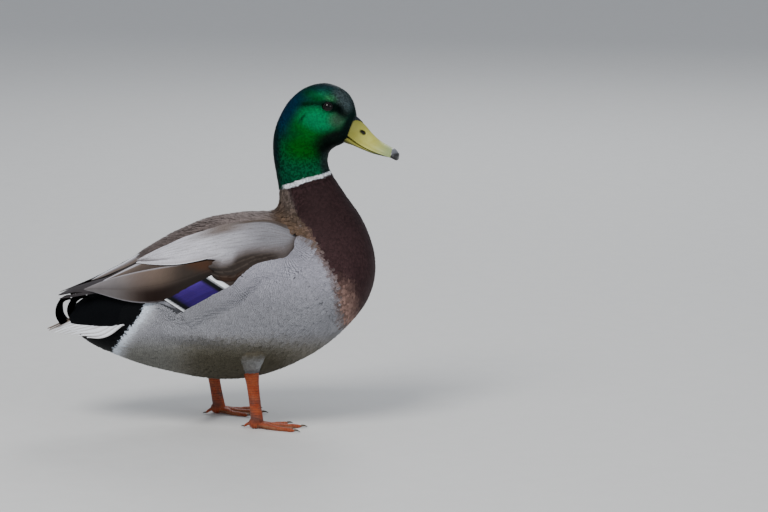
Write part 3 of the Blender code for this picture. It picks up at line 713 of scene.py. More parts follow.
def sleeve(centres, reaches, sides=20):
    """A closed tube through centres. Each ring is given by two half axes, as vectors."""
    angle = 2 * math.pi * np.arange(sides) / sides
    cosine, sine = np.cos(angle)[:, None], np.sin(angle)[:, None]
    rings = [centre + cosine * u + sine * v for centre, (u, v) in zip(centres, reaches)]
    return closed_tube(np.array(rings), (centres[0], centres[-1]))


def toe(centre_line, radii, bulges, flat=1.0):
    """A toe with joints that swell a little, rounded at its tip."""
    share = np.linspace(0, 1, 40)
    line = on_line(centre_line, np.linspace(0, 1, len(centre_line)), share)
    ahead = unit(np.gradient(line, axis=0) * [1, 1, 0.2])
    left = unit(np.cross(UP, ahead))
    radius = radii[0] + (radii[1] - radii[0]) * share
    for place in bulges:
        radius = radius * (1 + 0.13 * np.exp(-((share - place) / 0.06) ** 2))
    radius = radius * np.sqrt(1 - ramp(0.9, 1.0, share) * 0.75)
    reaches = [(l * r * 1.05, np.array([0, 0, r * flat])) for l, r in zip(left, radius)]
    return sleeve(line, reaches)


def build_leg(side):
    """One bare leg with its webbed foot, before its parts are merged."""
    ankle, hock = ANKLES[side], HOCKS[side]
    heights = np.linspace(66, 6, 60)
    table = np.array(SHANK)[::-1]
    fore = np.interp(heights, table[:, 0], table[:, 1])
    across = np.interp(heights, table[:, 0], table[:, 2])
    knob = np.exp(-((heights - 57) / 5.0) ** 2)
    fore, across = fore * (1 + 0.05 * knob) - 0.25, across * (1 + 0.06 * knob) - 0.2
    x = hock + (ankle - hock) * (HOCK_HEIGHT - heights) / (HOCK_HEIGHT - ANKLE_HEIGHT)
    centres = np.stack([x, np.full(60, side * LEG_SPREAD), heights], -1) * MM
    reaches = [(np.array([f, 0, 0]) * MM, np.array([0, -a, 0]) * MM) for f, a in zip(fore, across)]
    parts = [sleeve(centres, reaches, 28)]
    base = np.array([ankle, side * LEG_SPREAD, 0])
    tips = []
    for name, (_, length, root, tip) in TOES.items():
        ahead = toe_heading(side, name)
        rise = np.interp(np.linspace(0, 1, 30), [0, 0.1, 0.28, 0.5, 0.75, 1], [5.2, 4.8, 3.2, 1.9, 1.75, 1.7])
        line = (base + ahead * np.linspace(0, length, 30)[:, None] + UP * rise[:, None]) * MM
        joints = {"inner": (0.3, 0.68), "middle": (0.28, 0.55, 0.8), "outer": (0.25, 0.48, 0.68, 0.85)}[name]
        parts.append(toe(line, (root * MM, tip * MM), joints, 0.86))
        tips.append(base + ahead * (length - 1.5))
    heel = base + [-2, 0, 5.8]
    ball = np.linspace(-1, 1, 14)
    rings = np.sqrt(np.maximum(1 - ball**2, 0.002))
    parts.append(sleeve((heel + np.outer(ball, [7.2, 0, 0])) * MM,
                        [(np.array([0, 6.2, 0]) * r * MM, np.array([0, 0, 6.0]) * r * MM) for r in rings]))
    back = toe_heading(side, "hind")
    hind = [heel + back * out + [0, 0, height] for out, height in ((0, 1.5), (7, -0.8), (12.5, -4.0))]
    parts.append(toe(np.array(hind) * MM, (2.1 * MM, 1.5 * MM), (0.6,)))
    # the web: a thin sheet between neighbouring toes, with a hollow front edge and faint folds
    u, v = np.meshgrid(np.linspace(0, 1, 36), np.linspace(0, 1, 24), indexing="ij")
    hollow = 1 - 0.16 * np.sin(math.pi * v)
    for first, second in zip(tips, tips[1:]):
        edge = first + (second - first) * v[..., None]
        flat = base + (edge - base) * (u * hollow)[..., None]
        sag = 0.22 * np.sin(v * math.pi * 5) * np.sin(math.pi * v) * ramp(0.2, 0.8, u)
        crown = 1.2 * ramp(0.6, 0.1, u)
        top = (flat + UP * (1.75 + sag + crown)[..., None]) * MM
        low = (flat + UP * (0.45 + sag * 0.3)[..., None]) * MM
        parts.append((np.concatenate([top.reshape(-1, 3), low.reshape(-1, 3)]), sheet_faces(*u.shape)))
    return parts


def merged(name, parts, size, smoothing):
    """One closed skin over overlapping parts."""
    points, faces, start = [], [], 0
    for part, groups in parts:
        points.append(part)
        faces += [g + start for g in groups]
        start += len(part)
    rough = make_mesh(name + "_parts", np.concatenate(points), faces)
    remesh, smooth = rough.modifiers.new("merge", "REMESH"), rough.modifiers.new("smooth", "SMOOTH")
    remesh.mode, remesh.voxel_size = "VOXEL", size
    smooth.factor, smooth.iterations = 0.5, smoothing
    solid = bpy.data.meshes.new_from_object(rough.evaluated_get(bpy.context.evaluated_depsgraph_get()))
    bpy.data.objects.remove(rough)
    points = np.empty(len(solid.vertices) * 3, np.float32)
    solid.vertices.foreach_get("co", points)
    points = points.reshape(-1, 3).astype(float)
    corners = np.empty(len(solid.loops), np.int32)
    solid.loops.foreach_get("vertex_index", corners)
    bpy.data.meshes.remove(solid)
    return points, corners.reshape(-1, 4)


def build_foot(side, word):
    """A leg with its foot, which knows where it is web."""
    points, faces = merged(f"leg_{word}", build_leg(side), 0.55 * MM, 3)
    points[:, 2] = np.maximum(points[:, 2], 0.0001)
    flat = points[:, :2] - [ANKLES[side] * MM, side * LEG_SPREAD * MM]
    toe_gap = np.full(len(points), 1.0)
    for name, (_, length, *_) in TOES.items():
        ahead = toe_heading(side, name)[:2]
        nearest = np.clip(flat @ ahead, 0, length * MM)[:, None] * ahead
        toe_gap = np.minimum(toe_gap, np.linalg.norm(flat - nearest, axis=1))
    web = ramp(2.2 * MM, 3.4 * MM, toe_gap) * (points[:, 2] < 4.5 * MM) * (flat[:, 0] > 0)
    return flesh_part(f"leg_{word}_part", points, [faces], GREY, 1.0, web)


def build_thigh(side, word):
    stations, turns = np.meshgrid(np.linspace(0, 5, 40), np.arange(36) / 36, indexing="ij")
    cone = thigh(side)(stations, turns)
    middle = cone.mean(axis=1, keepdims=True)
    points, faces = closed_tube(middle + (cone - middle) * 0.88)
    return flesh_part(f"thigh_{word}_part", points, [f[:, ::-1] for f in faces], GREY)


def build_flesh(finish):
    """Joins the skin, the lids, the legs and the thighs to one piece."""
    bpy.ops.object.select_all(action="DESELECT")
    skin = build_skin()
    replaced = ["rump", "trunk", "breast", "neck", "neck_ring", "head"]
    parts = [skin] + build_lids()
    for side, word in SIDES:
        parts += [build_foot(side, word), build_thigh(side, word)]
        replaced += [f"thigh_{word}", f"leg_{word}", f"foot_{word}"]
    for part in parts:
        part.select_set(True)
    bpy.context.view_layer.objects.active = skin
    bpy.ops.object.join()
    finish_piece(skin, finish, "body_feathers", *replaced)


# -------- small feathers


def tracks(surface, span, spacing, margin):
    """Lines along the body, evenly round its middle: turns, stations and how far along each they lie."""
    middle = 0.5 * (span[0] + span[1])
    fine_turn = np.linspace(0, 1, 721)
    arc = distances(surface(np.full(721, middle), fine_turn))
    count = int(round(arc[-1] / (spacing * MM)))
    turns = np.interp((np.arange(count) + 0.5) * arc[-1] / count, arc, fine_turn)
    stations = np.linspace(span[0] - margin, span[1] + margin, 500)
    lines = surface(stations[None], turns[:, None])
    steps = np.linalg.norm(np.diff(lines, axis=1), axis=2)
    reach = np.concatenate([np.zeros((count, 1)), np.cumsum(steps, axis=1)], axis=1) / MM
    return turns, stations, reach


def by_station(stations, sizes):
    return lambda station: np.interp(station, stations, sizes)


def at_station(size, station):
    """A size at places along the body, where it may be one number or follow the station."""
    return size(station) if callable(size) else size + 0 * station


def coat(name, surface, mark, chart, span, spacing, step, size_of, finish, slot, depth, lift, way=-1, rows=5,
         border=0.0, keep=None, raise_by=None, lean=None, finer=None, flip=1.0, margin=1.5, relief=0.22):
    """Small overlapping feathers between two stations. Their sizes may follow the station."""
    turns, stations, reach = tracks(surface, span, spacing, margin)
    at, path = [], []
    for line, track in enumerate(reach):
        low, high = np.interp(span, stations, track)
        count = int((high - low) / step) + 2
        places = low + (np.arange(count) + 0.5 * (line % 2) + chance.uniform(-0.22, 0.22, count)) * step
        places = places[places < high]
        at.append(places)
        path.append(np.full(len(places), line))
    at, path = np.concatenate(at), np.concatenate(path)

    def stations_at(places):
        found = np.empty(places.shape)
        for line in range(len(turns)):
            found[path == line] = np.interp(places[path == line], reach[line], stations)
        return found

    station = stations_at(at)
    turn = turns[path] + chance.uniform(-0.2, 0.2, len(at)) / len(turns)
    beside = surface(station, turn + 0.002) - surface(station, turn - 0.002)
    across = np.linalg.norm(beside, axis=-1) / 0.004 / MM
    crowding = across / len(turns) / spacing
    wanted = chance.random(len(at)) < np.clip(crowding / 0.72, 0.25, 1)
    at, path, station = at[wanted], path[wanted], station[wanted]
    turn, across, crowding = turn[wanted], across[wanted], crowding[wanted]
    size = chance.uniform(0.88, 1.12, len(at))
    if finer:
        size = size * finer(surface(station, turn))
    length = at_station(size_of[0], station) * size
    half = 0.5 * at_station(size_of[1], station) * size * np.clip(crowding, 0.8, 1.35)
    share = np.array([VANE_SETS[rows][0]])
    course = at[:, None] + way * share * length[:, None]
    row_station = stations_at(course)
    drift = chance.normal(0, 0.12, len(at))
    if lean:
        drift = drift + lean(surface(station, turn), turn)
    row_turn = turn[:, None] + share * (drift * length / across)[:, None]
    point, normal = frame_at(surface, row_station, row_turn, flip)
    if keep:
        kept = keep(point)
        station, turn, half, course = (v[kept] for v in (station, turn, half, course))
        row_station, row_turn, point, normal = (v[kept] for v in (row_station, row_turn, point, normal))
    count = len(station)
    deep = at_station(depth, row_station)
    rise = lift + chance.normal(0, 0.07, count)[:, None] * np.minimum(deep, 2)
    if raise_by:
        rise = rise + raise_by(point)
    height = -deep + 0.2 + (deep - 0.2) * share**0.55 + rise * share**1.3
    if raise_by:
        height = height + back_ridge(point) * share**0.25
    middle = point + normal * (height * MM)[..., None]
    seen = int(rows * 0.65)
    colour, bars, sheen, speckle = mark(row_station[:, seen], row_turn[:, seen], border)
    tone = chance.normal(1, 0.05, count)[:, None]
    freckle = np.where(chance.random(count) < 0.5, 1, -0.5) * speckle
    colour = colour * tone * (1 + 0.55 * freckle[:, None])
    layers = {"plumage": colour, "bars": bars, "sheen": sheen, "shift": chance.random(count)}
    made = vanes(name, middle, normal, half, 0.13, layers, chart(station, turn), course, rows, relief)
    finish_piece(made, finish, slot)


def over_flank(points):
    """How far along points lie, how far over the flank's line along the folded wing, and how many degrees
    below the wing's top edge."""
    x, y, z = np.moveaxis(points / MM, -1, 0)
    _, half_width, centre, half_height, upper, _ = wing_shape(np.clip(x, -171, 86))
    angle = np.degrees(np.arctan2((z - centre) / half_height, np.abs(y) / half_width))
    along, high = seen_from_side(points)
    return along, high - line_at_x(along, FLANK_TOP), upper - angle


def clear_of_wing(points):
    along, over, under_top = over_flank(points)
    border = np.where((along > -44) & (along < 80), -1.5, 0.8)
    top = 7 + 7 * ramp(62, 74, along)
    hidden = (along > -100) & (along < 86) & (over > border) & (under_top > top)
    return ~(hidden[:, 0] | hidden[:, -2])


def over_wing_edge(points):
    """The flank's feathers rise to the wing's lower edge behind the rows of edge feathers."""
    along, over, under_top = over_flank(points)
    beside = ramp(-16, -3, over) * ramp(12, 20, under_top)
    return 3.0 * beside * ramp(-66, -56, along) * ramp(-38, -46, along)


def back_ridge(points):
    """How much higher the plumage stands along the middle of the back."""
    x, y, z = np.moveaxis(points / MM, -1, 0)
    near = ramp(26, 6, np.abs(y)) * ramp(-104, -80, x) * ramp(20, -24, x)
    return 3.2 * near * (z > 120)


def finer_at_wing_edge(points):
    """The share of their full size that the flank's feathers have beside the wing."""
    _, over, under_top = over_flank(points)
    return 1 - 0.38 * ramp(-12, -1, over) * ramp(12, 20, under_top)


def along_wing_edge(points, turn):
    """How far the flank's feathers lean down, to lie along the edge of the wing over them."""
    along, over, under_top = over_flank(points)
    slope = np.interp(along, [-100, -50, -20, 15, 40, 60, 84], [0.1, 0.5, 0.6, 0.62, 0.45, 0.5, 0.9])
    near = ramp(-38, -6, over) * ramp(2, 12, under_top)
    near = near * ramp(-75, -50, along) * ramp(112, 90, along)
    return slope * near * np.where((turn > 0.25) & (turn < 0.75), 1, -1)


def clear_of_eyes(points):
    clear = np.ones(len(points), bool)
    for side in (-1, 1):
        apart = np.linalg.norm(points - eye_centre(side), axis=-1)
        clear &= (apart[:, 0] > 6.5 * MM) & (apart[:, -1] > 6.4 * MM)
    return clear


def on_body(along, high):
    """Station and turn on the right side of the trunk where a place seen from the side lies."""
    stations, turns = np.meshgrid(np.linspace(3, 12, 240), np.linspace(0.3, 0.7, 120), indexing="ij")
    seen_along, seen_high = seen_from_side(body(stations, turns))
    station, turn = np.empty(along.shape), np.empty(along.shape)
    for place in np.ndindex(along.shape[:1]):
        aside, above = seen_along.ravel() - along[place][:, None], seen_high.ravel() - high[place][:, None]
        apart = aside**2 + above**2
        best = apart.argmin(axis=1)
        station[place], turn[place] = stations.ravel()[best], turns.ravel()[best]
    for _ in range(3):
        a, h = seen_from_side(body(station, turn))
        a_s, h_s = (v - w for v, w in zip(seen_from_side(body(station + 0.01, turn)), (a, h)))
        a_t, h_t = (v - w for v, w in zip(seen_from_side(body(station, turn + 0.001)), (a, h)))
        area = a_s * h_t - a_t * h_s
        area = np.where(np.abs(area) < 1e-6, 1e-6, area)
        station = np.clip(station + 0.01 * ((along - a) * h_t - (high - h) * a_t) / area, 3, 12)
        turn = np.clip(turn + 0.001 * (a_s * (high - h) - h_s * (along - a)) / area, 0.28, 0.75)
    return station, turn


def thigh_chart(side):
    return lambda station, turn: np.stack([0.3 + 0.25 * side + 0.4 * turn, 0.02 + 0.03 * station], -1)


def mark_thigh(station, turn, stray):
    # dark brown at the top, where the thigh meets the belly, and towards the back: painted shade; grey
    # towards the front, darker again towards the leg
    upper = ramp(1.2, 2.6, station) * (0.65 + 0.35 * np.sin(2 * math.pi * turn))
    tone = mix(rgb(0.095, 0.082, 0.058), GREY * rgb(0.72, 0.73, 0.69), upper)
    tone = mix(tone, GREY * 0.36, ramp(3.6, 4.6, station))
    return tone, 0.6 + 0 * station, 0 * station, 0.2 + 0 * station


def build_thigh_coat(side, word, finish):
    coat(f"thigh_coat_{word}", thigh(side), mark_thigh, thigh_chart(side), (0.2, 4.7), 2.6, 2.6, (8.0, 4.4),
         finish, "body_feathers", 0.8, 0.1, way=1, flip=float(side))


def build_wing_edge(finish):
    """Rows of small feathers laid along the border where the flank closes over the wing."""
    line = np.array([p for p in FLANK_TOP if -44 < p[0] < 82])[::-1]
    line = softened(resample(line, 160), 6)
    reach = distances(line)
    ahead = unit(np.gradient(line, axis=0))
    below = np.stack([-ahead[:, 1], ahead[:, 0]], -1)
    below = below * np.where(below[:, 1:] > 0, -1, 1)
    share = VANE_SETS[5][0]
    starts, lanes = [], []
    for lane in range(10):
        places = np.arange(-6, reach[-1] - 3, 2.1) + 1.05 * (lane % 2)
        starts.append(places + chance.uniform(-0.5, 0.5, len(places)))
        lanes.append(np.full(len(places), lane))
    starts, lanes = np.concatenate(starts), np.concatenate(lanes)
    length = chance.uniform(8, 10, len(starts)) + lanes * 0.5
    at = starts[:, None] + share * length[:, None]
    stray = chance.normal(0, 0.12 + 0.1 * lanes[:, None])
    drop = 1.3 + 1.75 * lanes[:, None] + (1 - share) * np.minimum(1.2 + 0.9 * lanes[:, None], 5.4) + stray
    spine = on_line(line, reach, at) + drop[..., None] * on_line(below, reach, at)
    station, turn = on_body(spine[..., 0], spine[..., 1])
    point, normal = frame_at(body, station, turn)
    fall = np.cos(np.clip((lanes[:, None] - 2.5) / 7, 0, 1) * math.pi) * 0.5 + 0.5
    ends = (0.12 + 0.88 * ramp(-6, 40, at)) * ramp(reach[-1] + 8, reach[-1] - 6, at)
    height = -0.75 + 1.4 * share**0.6 + (2.6 + 1.5 * share**0.6) * fall * ends
    height = height + chance.normal(0, 0.06, (len(starts), 1))
    middle = point + normal * (height * MM)[..., None]
    colour, bars, sheen, _ = markings(spine[:, 3, 0], spine[:, 3, 1], station[:, 3])
    colour = colour * chance.normal(1, 0.04, (len(starts), 1))
    layers = {"plumage": colour, "bars": bars, "sheen": sheen, "shift": chance.random(len(starts))}
    half = 1.5 * np.ones(len(starts))
    for side, word in SIDES:
        place = chart_place(station[:, 2], turn[:, 2] if side < 0 else (0.5 - turn[:, 2]) % 1)
        mirror = [1, -side, 1]
        middles, normals = middle * mirror, normal * mirror
        made = vanes(f"flank_edge_{word}", middles, normals, half, 0.12, layers, place, at, 5, 0.14)
        finish_piece(made, finish, "body_feathers")


# -------- large feathers


BLADE_ROWS, BLADE_COLUMNS = 18, 7


def blade(centre, half_width, tip="round", base=0.6):
    """A large feather's outline seen from the side: a grid of places, and its shares along and across."""
    line = softened(resample(centre, BLADE_ROWS))
    ahead = unit(np.gradient(line, axis=0))
    left = np.stack([-ahead[:, 1], ahead[:, 0]], -1)
    share = np.linspace(0, 1, BLADE_ROWS)
    swell = base + (1 - base) * np.sin(np.clip(share / 0.55, 0, 1) * math.pi / 2)
    if tip == "round":
        swell = swell * np.sqrt(np.clip(1 - ramp(0.72, 1.02, share), 0.02, 1))
    else:
        swell = swell * np.clip(1 - ramp(0.35, 1.05, share), 0.03, 1) ** 0.8
    across = np.linspace(-1, 1, BLADE_COLUMNS)
    reach = left * (half_width * swell)[:, None]
    return line[:, None] + reach[:, None] * across[:, None], share, across


def between(upper, lower):
    """A large feather's outline between its two edges."""
    across = np.linspace(-1, 1, 19)
    to_lower = (0.5 - 0.5 * across)[None, :, None]
    top, bottom = softened(resample(upper, BLADE_ROWS)), softened(resample(lower, BLADE_ROWS))
    return top[:, None] * (1 - to_lower) + bottom[:, None] * to_lower, np.linspace(0, 1, BLADE_ROWS), across


def slanted(back_from, back_to, down_from, down_to):
    """A feather's outline beside the coloured patch, with its end cut along the patch's bars."""
    share, across = np.linspace(0, 1, BLADE_ROWS), np.linspace(1, -1, 11)
    rounding = 0.9 * share[:, None] ** 8 * np.abs(across) ** 4
    back = back_from + (back_to - back_from) * share[:, None] - rounding
    down = (down_from + down_to) / 2 - (down_to - down_from) / 2 * across + 0 * back
    return MIRROR_AT + back[..., None] * MIRROR_BACK + down[..., None] * MIRROR_DOWN, share, across


def lay_blades(name, blades, place, colour_of, finish, slot="wing_feathers", nodes=(), relief=1.0):
    """Lays blades on a surface. Each blade is (outline, height at its base, height at its tip, camber)."""
    top, layers = [], []
    for (outline, share, across), low, high, camber in blades:
        share, across = np.broadcast_arrays(share[:, None], across[None])
        arch = (1 - across**2) * np.sin(np.clip(share * 1.15 + 0.1, 0, 1) * math.pi) ** 0.5
        flat = outline[..., 0], outline[..., 1]
        top.append(place(*flat, low + (high - low) * share**0.8 + camber * arch))
        colour, bars, sheen = colour_of(*flat, share, across)
        centre = outline.shape[1] // 2
        length = np.linalg.norm(outline[-1, centre] - outline[0, centre])
        half = np.linalg.norm(outline[:, -1] - outline[:, 0], axis=-1) / 2
        layers.append({"plumage": colour * chance.normal(1, 0.05), "bars": bars, "sheen": sheen,
                       "along": share, "across": across, "course": share * length,
                       "side": across * half[:, None], "shift": chance.random() + 0 * share})
    top = np.array(top)
    normal = unit(np.cross(np.gradient(top, axis=1), np.gradient(top, axis=2)))
    from_middle = np.sum(normal * (top - [0, 0, 0.13]), axis=-1, keepdims=True)
    outward = np.sign(from_middle.mean(axis=(1, 2), keepdims=True))
    normal = normal * outward
    # Neighbouring feathers shade as one smooth wing, with some relief of their own
    wing = unit(normal.mean(axis=2, keepdims=True) * 0.5 + top * [0, 4.0, 0] + [0, 0, 0.25])
    layers = {key: np.array([one[key] for one in layers]) for key in layers[0]}
    shading = unit(wing * (1 - relief) + normal * relief)
    made = plates(name, top, -normal * 0.5 * MM, layers, outward.ravel() < 0, shading)
    finish_piece(made, finish, slot, *nodes)


# Places on the folded wing as seen from the side
PRIMARY = (((-98, 157), (-118, 155), (-137.6, 149.5), (-157.8, 143.2), (-167, 138.6), (-172.2, 135)),
           ((-98, 140), (-120, 138), (-145, 135.4), (-160, 134.3), (-167, 134.2), (-172.2, 134.7)))
SCAPULARS_TOP = ((82, 191), (76, 197), (68, 201), (60, 204.5), (48.7, 208), (34.4, 208), (16.6, 206),
                 (-1.3, 202), (-19, 197.5), (-37, 192), (-58.4, 184.3), (-74, 177.5), (-90.6, 169.6))
SCAPULARS_MIDDLE = ((82, 190), (74, 190), (60, 189), (44, 187), (26, 184), (8, 182), (-8, 180), (-24, 177),
                    (-40, 174), (-58, 171.5), (-74, 169.8), (-90.6, 168.6))
SCAPULARS_FRONT = ((82, 190), (74, 189), (60, 187), (44, 184.5), (26, 180), (8, 176), (-5, 172.5), (-17, 171))
SCAPULARS_LOW = ((80, 194), (74, 183), (66.6, 173), (48.7, 169.6), (34.4, 166.2), (23, 158.6), (12, 152),
                 (0, 152), (-8, 154), (-12.5, 156))
BAND_TOP = ((-16, 158), (-5, 161.7), (9.4, 165), (16.6, 172.4), (24, 175.5), (31, 177), (45, 177.7),
            (57.6, 177.7), (66, 178), (72, 182), (78, 190))
LONG_SCAPULAR = (((6, 184), (-30, 181), (-60, 176.5), (-80, 171.8), (-90.6, 168.4)),
                 ((0, 176), (-19.1, 171), (-31.6, 168.3), (-44, 166), (-58.4, 165.1), (-74, 166),
                  (-90.6, 167.9)))
TERTIAL_A = (((-8, 172), (-41, 165.8), (-58.8, 164.6), (-88.2, 159.4), (-114.8, 152.8), (-134, 146),
              (-145.7, 140.3)),
             ((-8, 153), (-18.2, 149.1), (-35, 139), (-52.9, 130), (-66, 124.6), (-82.4, 123.8),
              (-103, 126.3), (-128, 134), (-145.7, 139.9)))
TERTIAL_B = (((-30, 194), (-44, 189), (-66.1, 180.8), (-100, 163.5), (-128, 149), (-136.5, 144.6)),
             ((-30, 168), (-60, 164), (-88.2, 157.5), (-112, 151), (-128, 146), (-136.5, 144.2)))
LOWER_PRIMARY = (((-122, 141), (-140, 137), (-155, 134.6), (-163, 132.6), (-171, 129.8)),
                 ((-122, 137), (-140, 134), (-155, 131.6), (-163, 130.2), (-171, 129.4)))
INNERMOST = (((-40, 195), (-52, 195), (-62.9, 191.8), (-69.6, 188.6), (-86.4, 178.7), (-103.2, 168.4),
              (-120, 160.7), (-136.8, 150.9)),
             ((-40, 187), (-52, 184), (-62.9, 180.5), (-83, 172.2), (-99.8, 164.0), (-115, 158.0),
              (-128.4, 152.4), (-136.8, 150.4)))
# The coloured patch: its top front corner, the way back along it and the way down it
MIRROR_AT, MIRROR_BACK, MIRROR_DOWN = rgb(-12.3, 150.6), rgb(-0.915, -0.40), rgb(0.84, -0.55)


def speculum_place(along, high):
    """Distances back along the folded wing and down it from the top front corner of the coloured patch."""
    basis = np.linalg.inv(np.stack([MIRROR_BACK, MIRROR_DOWN], 1))
    offset = np.stack([along, high], -1) - MIRROR_AT
    return offset @ basis.T[:, 0], offset @ basis.T[:, 1]


def scapular_colours(along, high, share, across):
    above = high - line_at_x(along, SCAPULARS_LOW)
    over_band = high - line_at_x(along, BAND_TOP)
    below_top = line_at_x(along, SCAPULARS_TOP) - high
    light = mix(PALE * 0.46, PALE * 1.2, ramp(50, -40, along))
    brown = ramp(8.5, 1, below_top) * ramp(-50, 0, along) * ramp(42, 2, along) * 0.9
    # a painted shadow line in the gap between the scapulars and the mantle, just over their top edge
    line = ramp(-1.0, -2.6, below_top) * ramp(0, 25, along) * ramp(76, 66, along)
    colour = mix(mix(light, UMBER * 0.9, brown), UMBER * 0.5, line)
    here = ramp(-18, -8, along)
    dark = mix(BROWN * 0.6, rgb(0.080, 0.066, 0.062), ramp(50, 68, along))
    rear = ramp(3, -9, along) * ramp(174, 168, high)
    colour = painted(
        colour,
        (rgb(0.112, 0.093, 0.088), ramp(13.5, 1, over_band) * 0.87 * here),
        (dark, ramp(5, -3, over_band) * here),
        (RUST * 0.25, ramp(3.0, 0.5, above) * ramp(30, 14, along) * here * 0.8),
        (mix(BROWN * 0.30, rgb(0.125, 0.105, 0.100), ramp(160, 170, high)), rear),
    )
    edge = ramp(0.72, 1.0, np.abs(across)) * ramp(-2, 8, over_band) * (1 - rear)
    colour = mix(colour, colour * 1.2, 0.45 * edge)
    # painted shade towards the front end, where the wing curves away
    colour = mix(colour, UMBER * 0.9, ramp(72, 84, along) * 0.12)
    shaft = ramp(0.16, 0.04, np.abs(across)) * 0.22
    return mix(colour, UMBER, shaft), 0.45 * ramp(-2, 8, over_band), 0 * along


def long_scapular_colours(along, high, share, across):
    colour = painted(
        PALE * 0.95,
        (PALE * 1.12, ramp(0.1, 0.7, share)),
        (UMBER * 1.2, ramp(-0.3, -0.8, across) * 0.3),
        (WHITE, ramp(-0.86, -0.95, across) * 0.7),
    )
    return colour, 0.35 + 0 * along, 0 * along


def tertial_colours(along, high, share, across):
    colour = mix(UMBER * rgb(0.58, 0.54, 0.50), UMBER * rgb(0.60, 0.63, 0.74), ramp(-60, -125, along))
    colour = mix(colour, colour * 1.5, ramp(0.0, 0.8, across) * ramp(-30, -90, along))
    colour = mix(colour, colour * rgb(1.15, 1.3, 1.35), ramp(-84, -112, along))
    # painted shade on the lower side, which faces down, fading out towards the tip
    shaded_lower_side = ramp(0.25, -0.45, across) * ramp(-118, -74, along)
    shaft = ramp(0.08, 0.03, np.abs(across + 0.1))
    colour = painted(
        colour,
        (BROWN * rgb(0.24, 0.16, 0.14), shaded_lower_side),
        (BROWN * 0.36, ramp(-70, -38, along) * 0.8),
        (RUST * 0.5, spot(along, high, (-22, 166), (16, 6.5), -8, 0.6)),
        (PALE * 0.6, ramp(0.90, 1.0, across) * 0.8 * ramp(-36, -66, along)),
        (PALE * 0.42, ramp(-0.94, -1.0, across) * 0.7 * ramp(-60, -90, along)),
        (BROWN, 0.3 * shaft),
    )
    return colour, 0.10 + 0 * along, 0 * along


def inner_tertial_colours(along, high, share, across):
    colour = painted(
        UMBER * 0.6,
        (UMBER * 0.8, ramp(-40, -120, along)),
        (BROWN * 0.8, ramp(0.3, -0.6, across) * 0.6),
        (PALE * 0.85, ramp(0.35, 0.62, across) * 0.9 * ramp(-60, -100, along)),
        (BLACK * 3, ramp(0.88, 0.97, across) * 0.9),
    )
    return colour, 0.15 + 0 * along, 0 * along


def innermost_colours(along, high, share, across):
    colour = painted(
        UMBER * 0.85,
        (FAWN * rgb(0.95, 1.08, 1.35), ramp(-0.6, 0.3, across) * ramp(-46, -80, along)),
        (PALE * 0.95, ramp(0.1, 0.5, across) * ramp(-70, -92, along) * 0.8),
        (WHITE * 0.92, ramp(0.55, 0.8, across) * ramp(-80, -98, along) * 0.9),
        (BLACK * 4, ramp(-0.82, -0.97, across)),
    )
    return colour, 0.12 + 0 * along, 0 * along


def secondary_colours(along, high, share, across):
    back, _ = speculum_place(along, high)
    colour = painted(
        WHITE,
        (BLACK * 1.5, ramp(-0.6, 0.3, back)),
        (VIOLET, ramp(7.2, 9.5, back)),
        (BLACK * 1.5, ramp(42.5, 44.5, back)),
        (WHITE, ramp(51.3, 51.7, back)),
    )
    colour = mix(colour, colour * 0.7, ramp(0.8, 1, np.abs(across)) * ramp(52, 50, back))
    return colour, 0 * along, ramp(7, 9.5, back) * ramp(46, 43, back)


def greater_covert_colours(along, high, share, across):
    back, _ = speculum_place(along, high)
    return mix(BROWN, WHITE, ramp(-5.6, -4.8, back)), 0 * along, 0 * along


def primary_colours(along, high, share, across):
    colour = mix(rgb(0.050, 0.044, 0.046), rgb(0.036, 0.031, 0.032), ramp(0.3, 0.9, share))
    colour = mix(colour, colour * 1.6, ramp(0.9, 1.0, across) * 0.6)
    return colour, 0 * along, 0.15 + 0 * along


def covert_colours(along, high, share, across):
    colour = mix(UMBER * 0.8, UMBER * 0.9, share)
    return mix(colour, FAWN, ramp(0.8, 1.0, np.abs(across)) * 0.5), 0.2 + 0 * along, 0 * along


def build_wing(side, word, finish):
    place = lambda along, high, height: on_wing(along, high, height, side)
    build_arm(side, word, finish)
    build_quills(side, word, finish, place)
    lay_blades(f"scapulars_{word}", scapular_lanes(), place, scapular_colours, finish, relief=0.26)
    long_one = between(*LONG_SCAPULAR)
    lay_blades(f"long_scapular_{word}", [(long_one, -1.2, -0.8, 0.4)], place, long_scapular_colours, finish,
               relief=0.35)
    build_innermost_tertial(side, word, finish)
    build_small_coverts(word, finish, place)


def build_arm(side, word, finish):
    """The arm under the feathers, dark but pale behind the coloured patch."""
    x, share = np.meshgrid(np.linspace(70, -160, 70), np.linspace(0, 1, 26), indexing="ij")
    *_, upper, lower = wing_shape(x)
    angle = np.radians(lower + 3 + (upper - lower - 6) * share)
    flat = np.concatenate([wing_point(x, angle, height, side).reshape(-1, 3) for height in (-3.4, -4.6)])
    along, high = seen_from_side(flat)
    behind = ramp(54.0, 55.5, speculum_place(along, high)[0]) * ramp(-78, -70, along)
    zero = np.zeros(len(flat))
    layers = {"plumage": mix(BROWN * 0.8, GREY * rgb(1.0, 1.0, 1.04), behind), "bars": behind, "sheen": zero,
              "along": zero + 0.5, "across": zero, "course": flat[:, 0] / MM, "side": flat[:, 2] / MM,
              "shift": zero}
    faces = [f[:, ::-side] for f in sheet_faces(*x.shape)]
    finish_piece(make_mesh(f"wing_arm_{word}", flat, faces, layers), finish, "wing_feathers", f"wing_{word}")


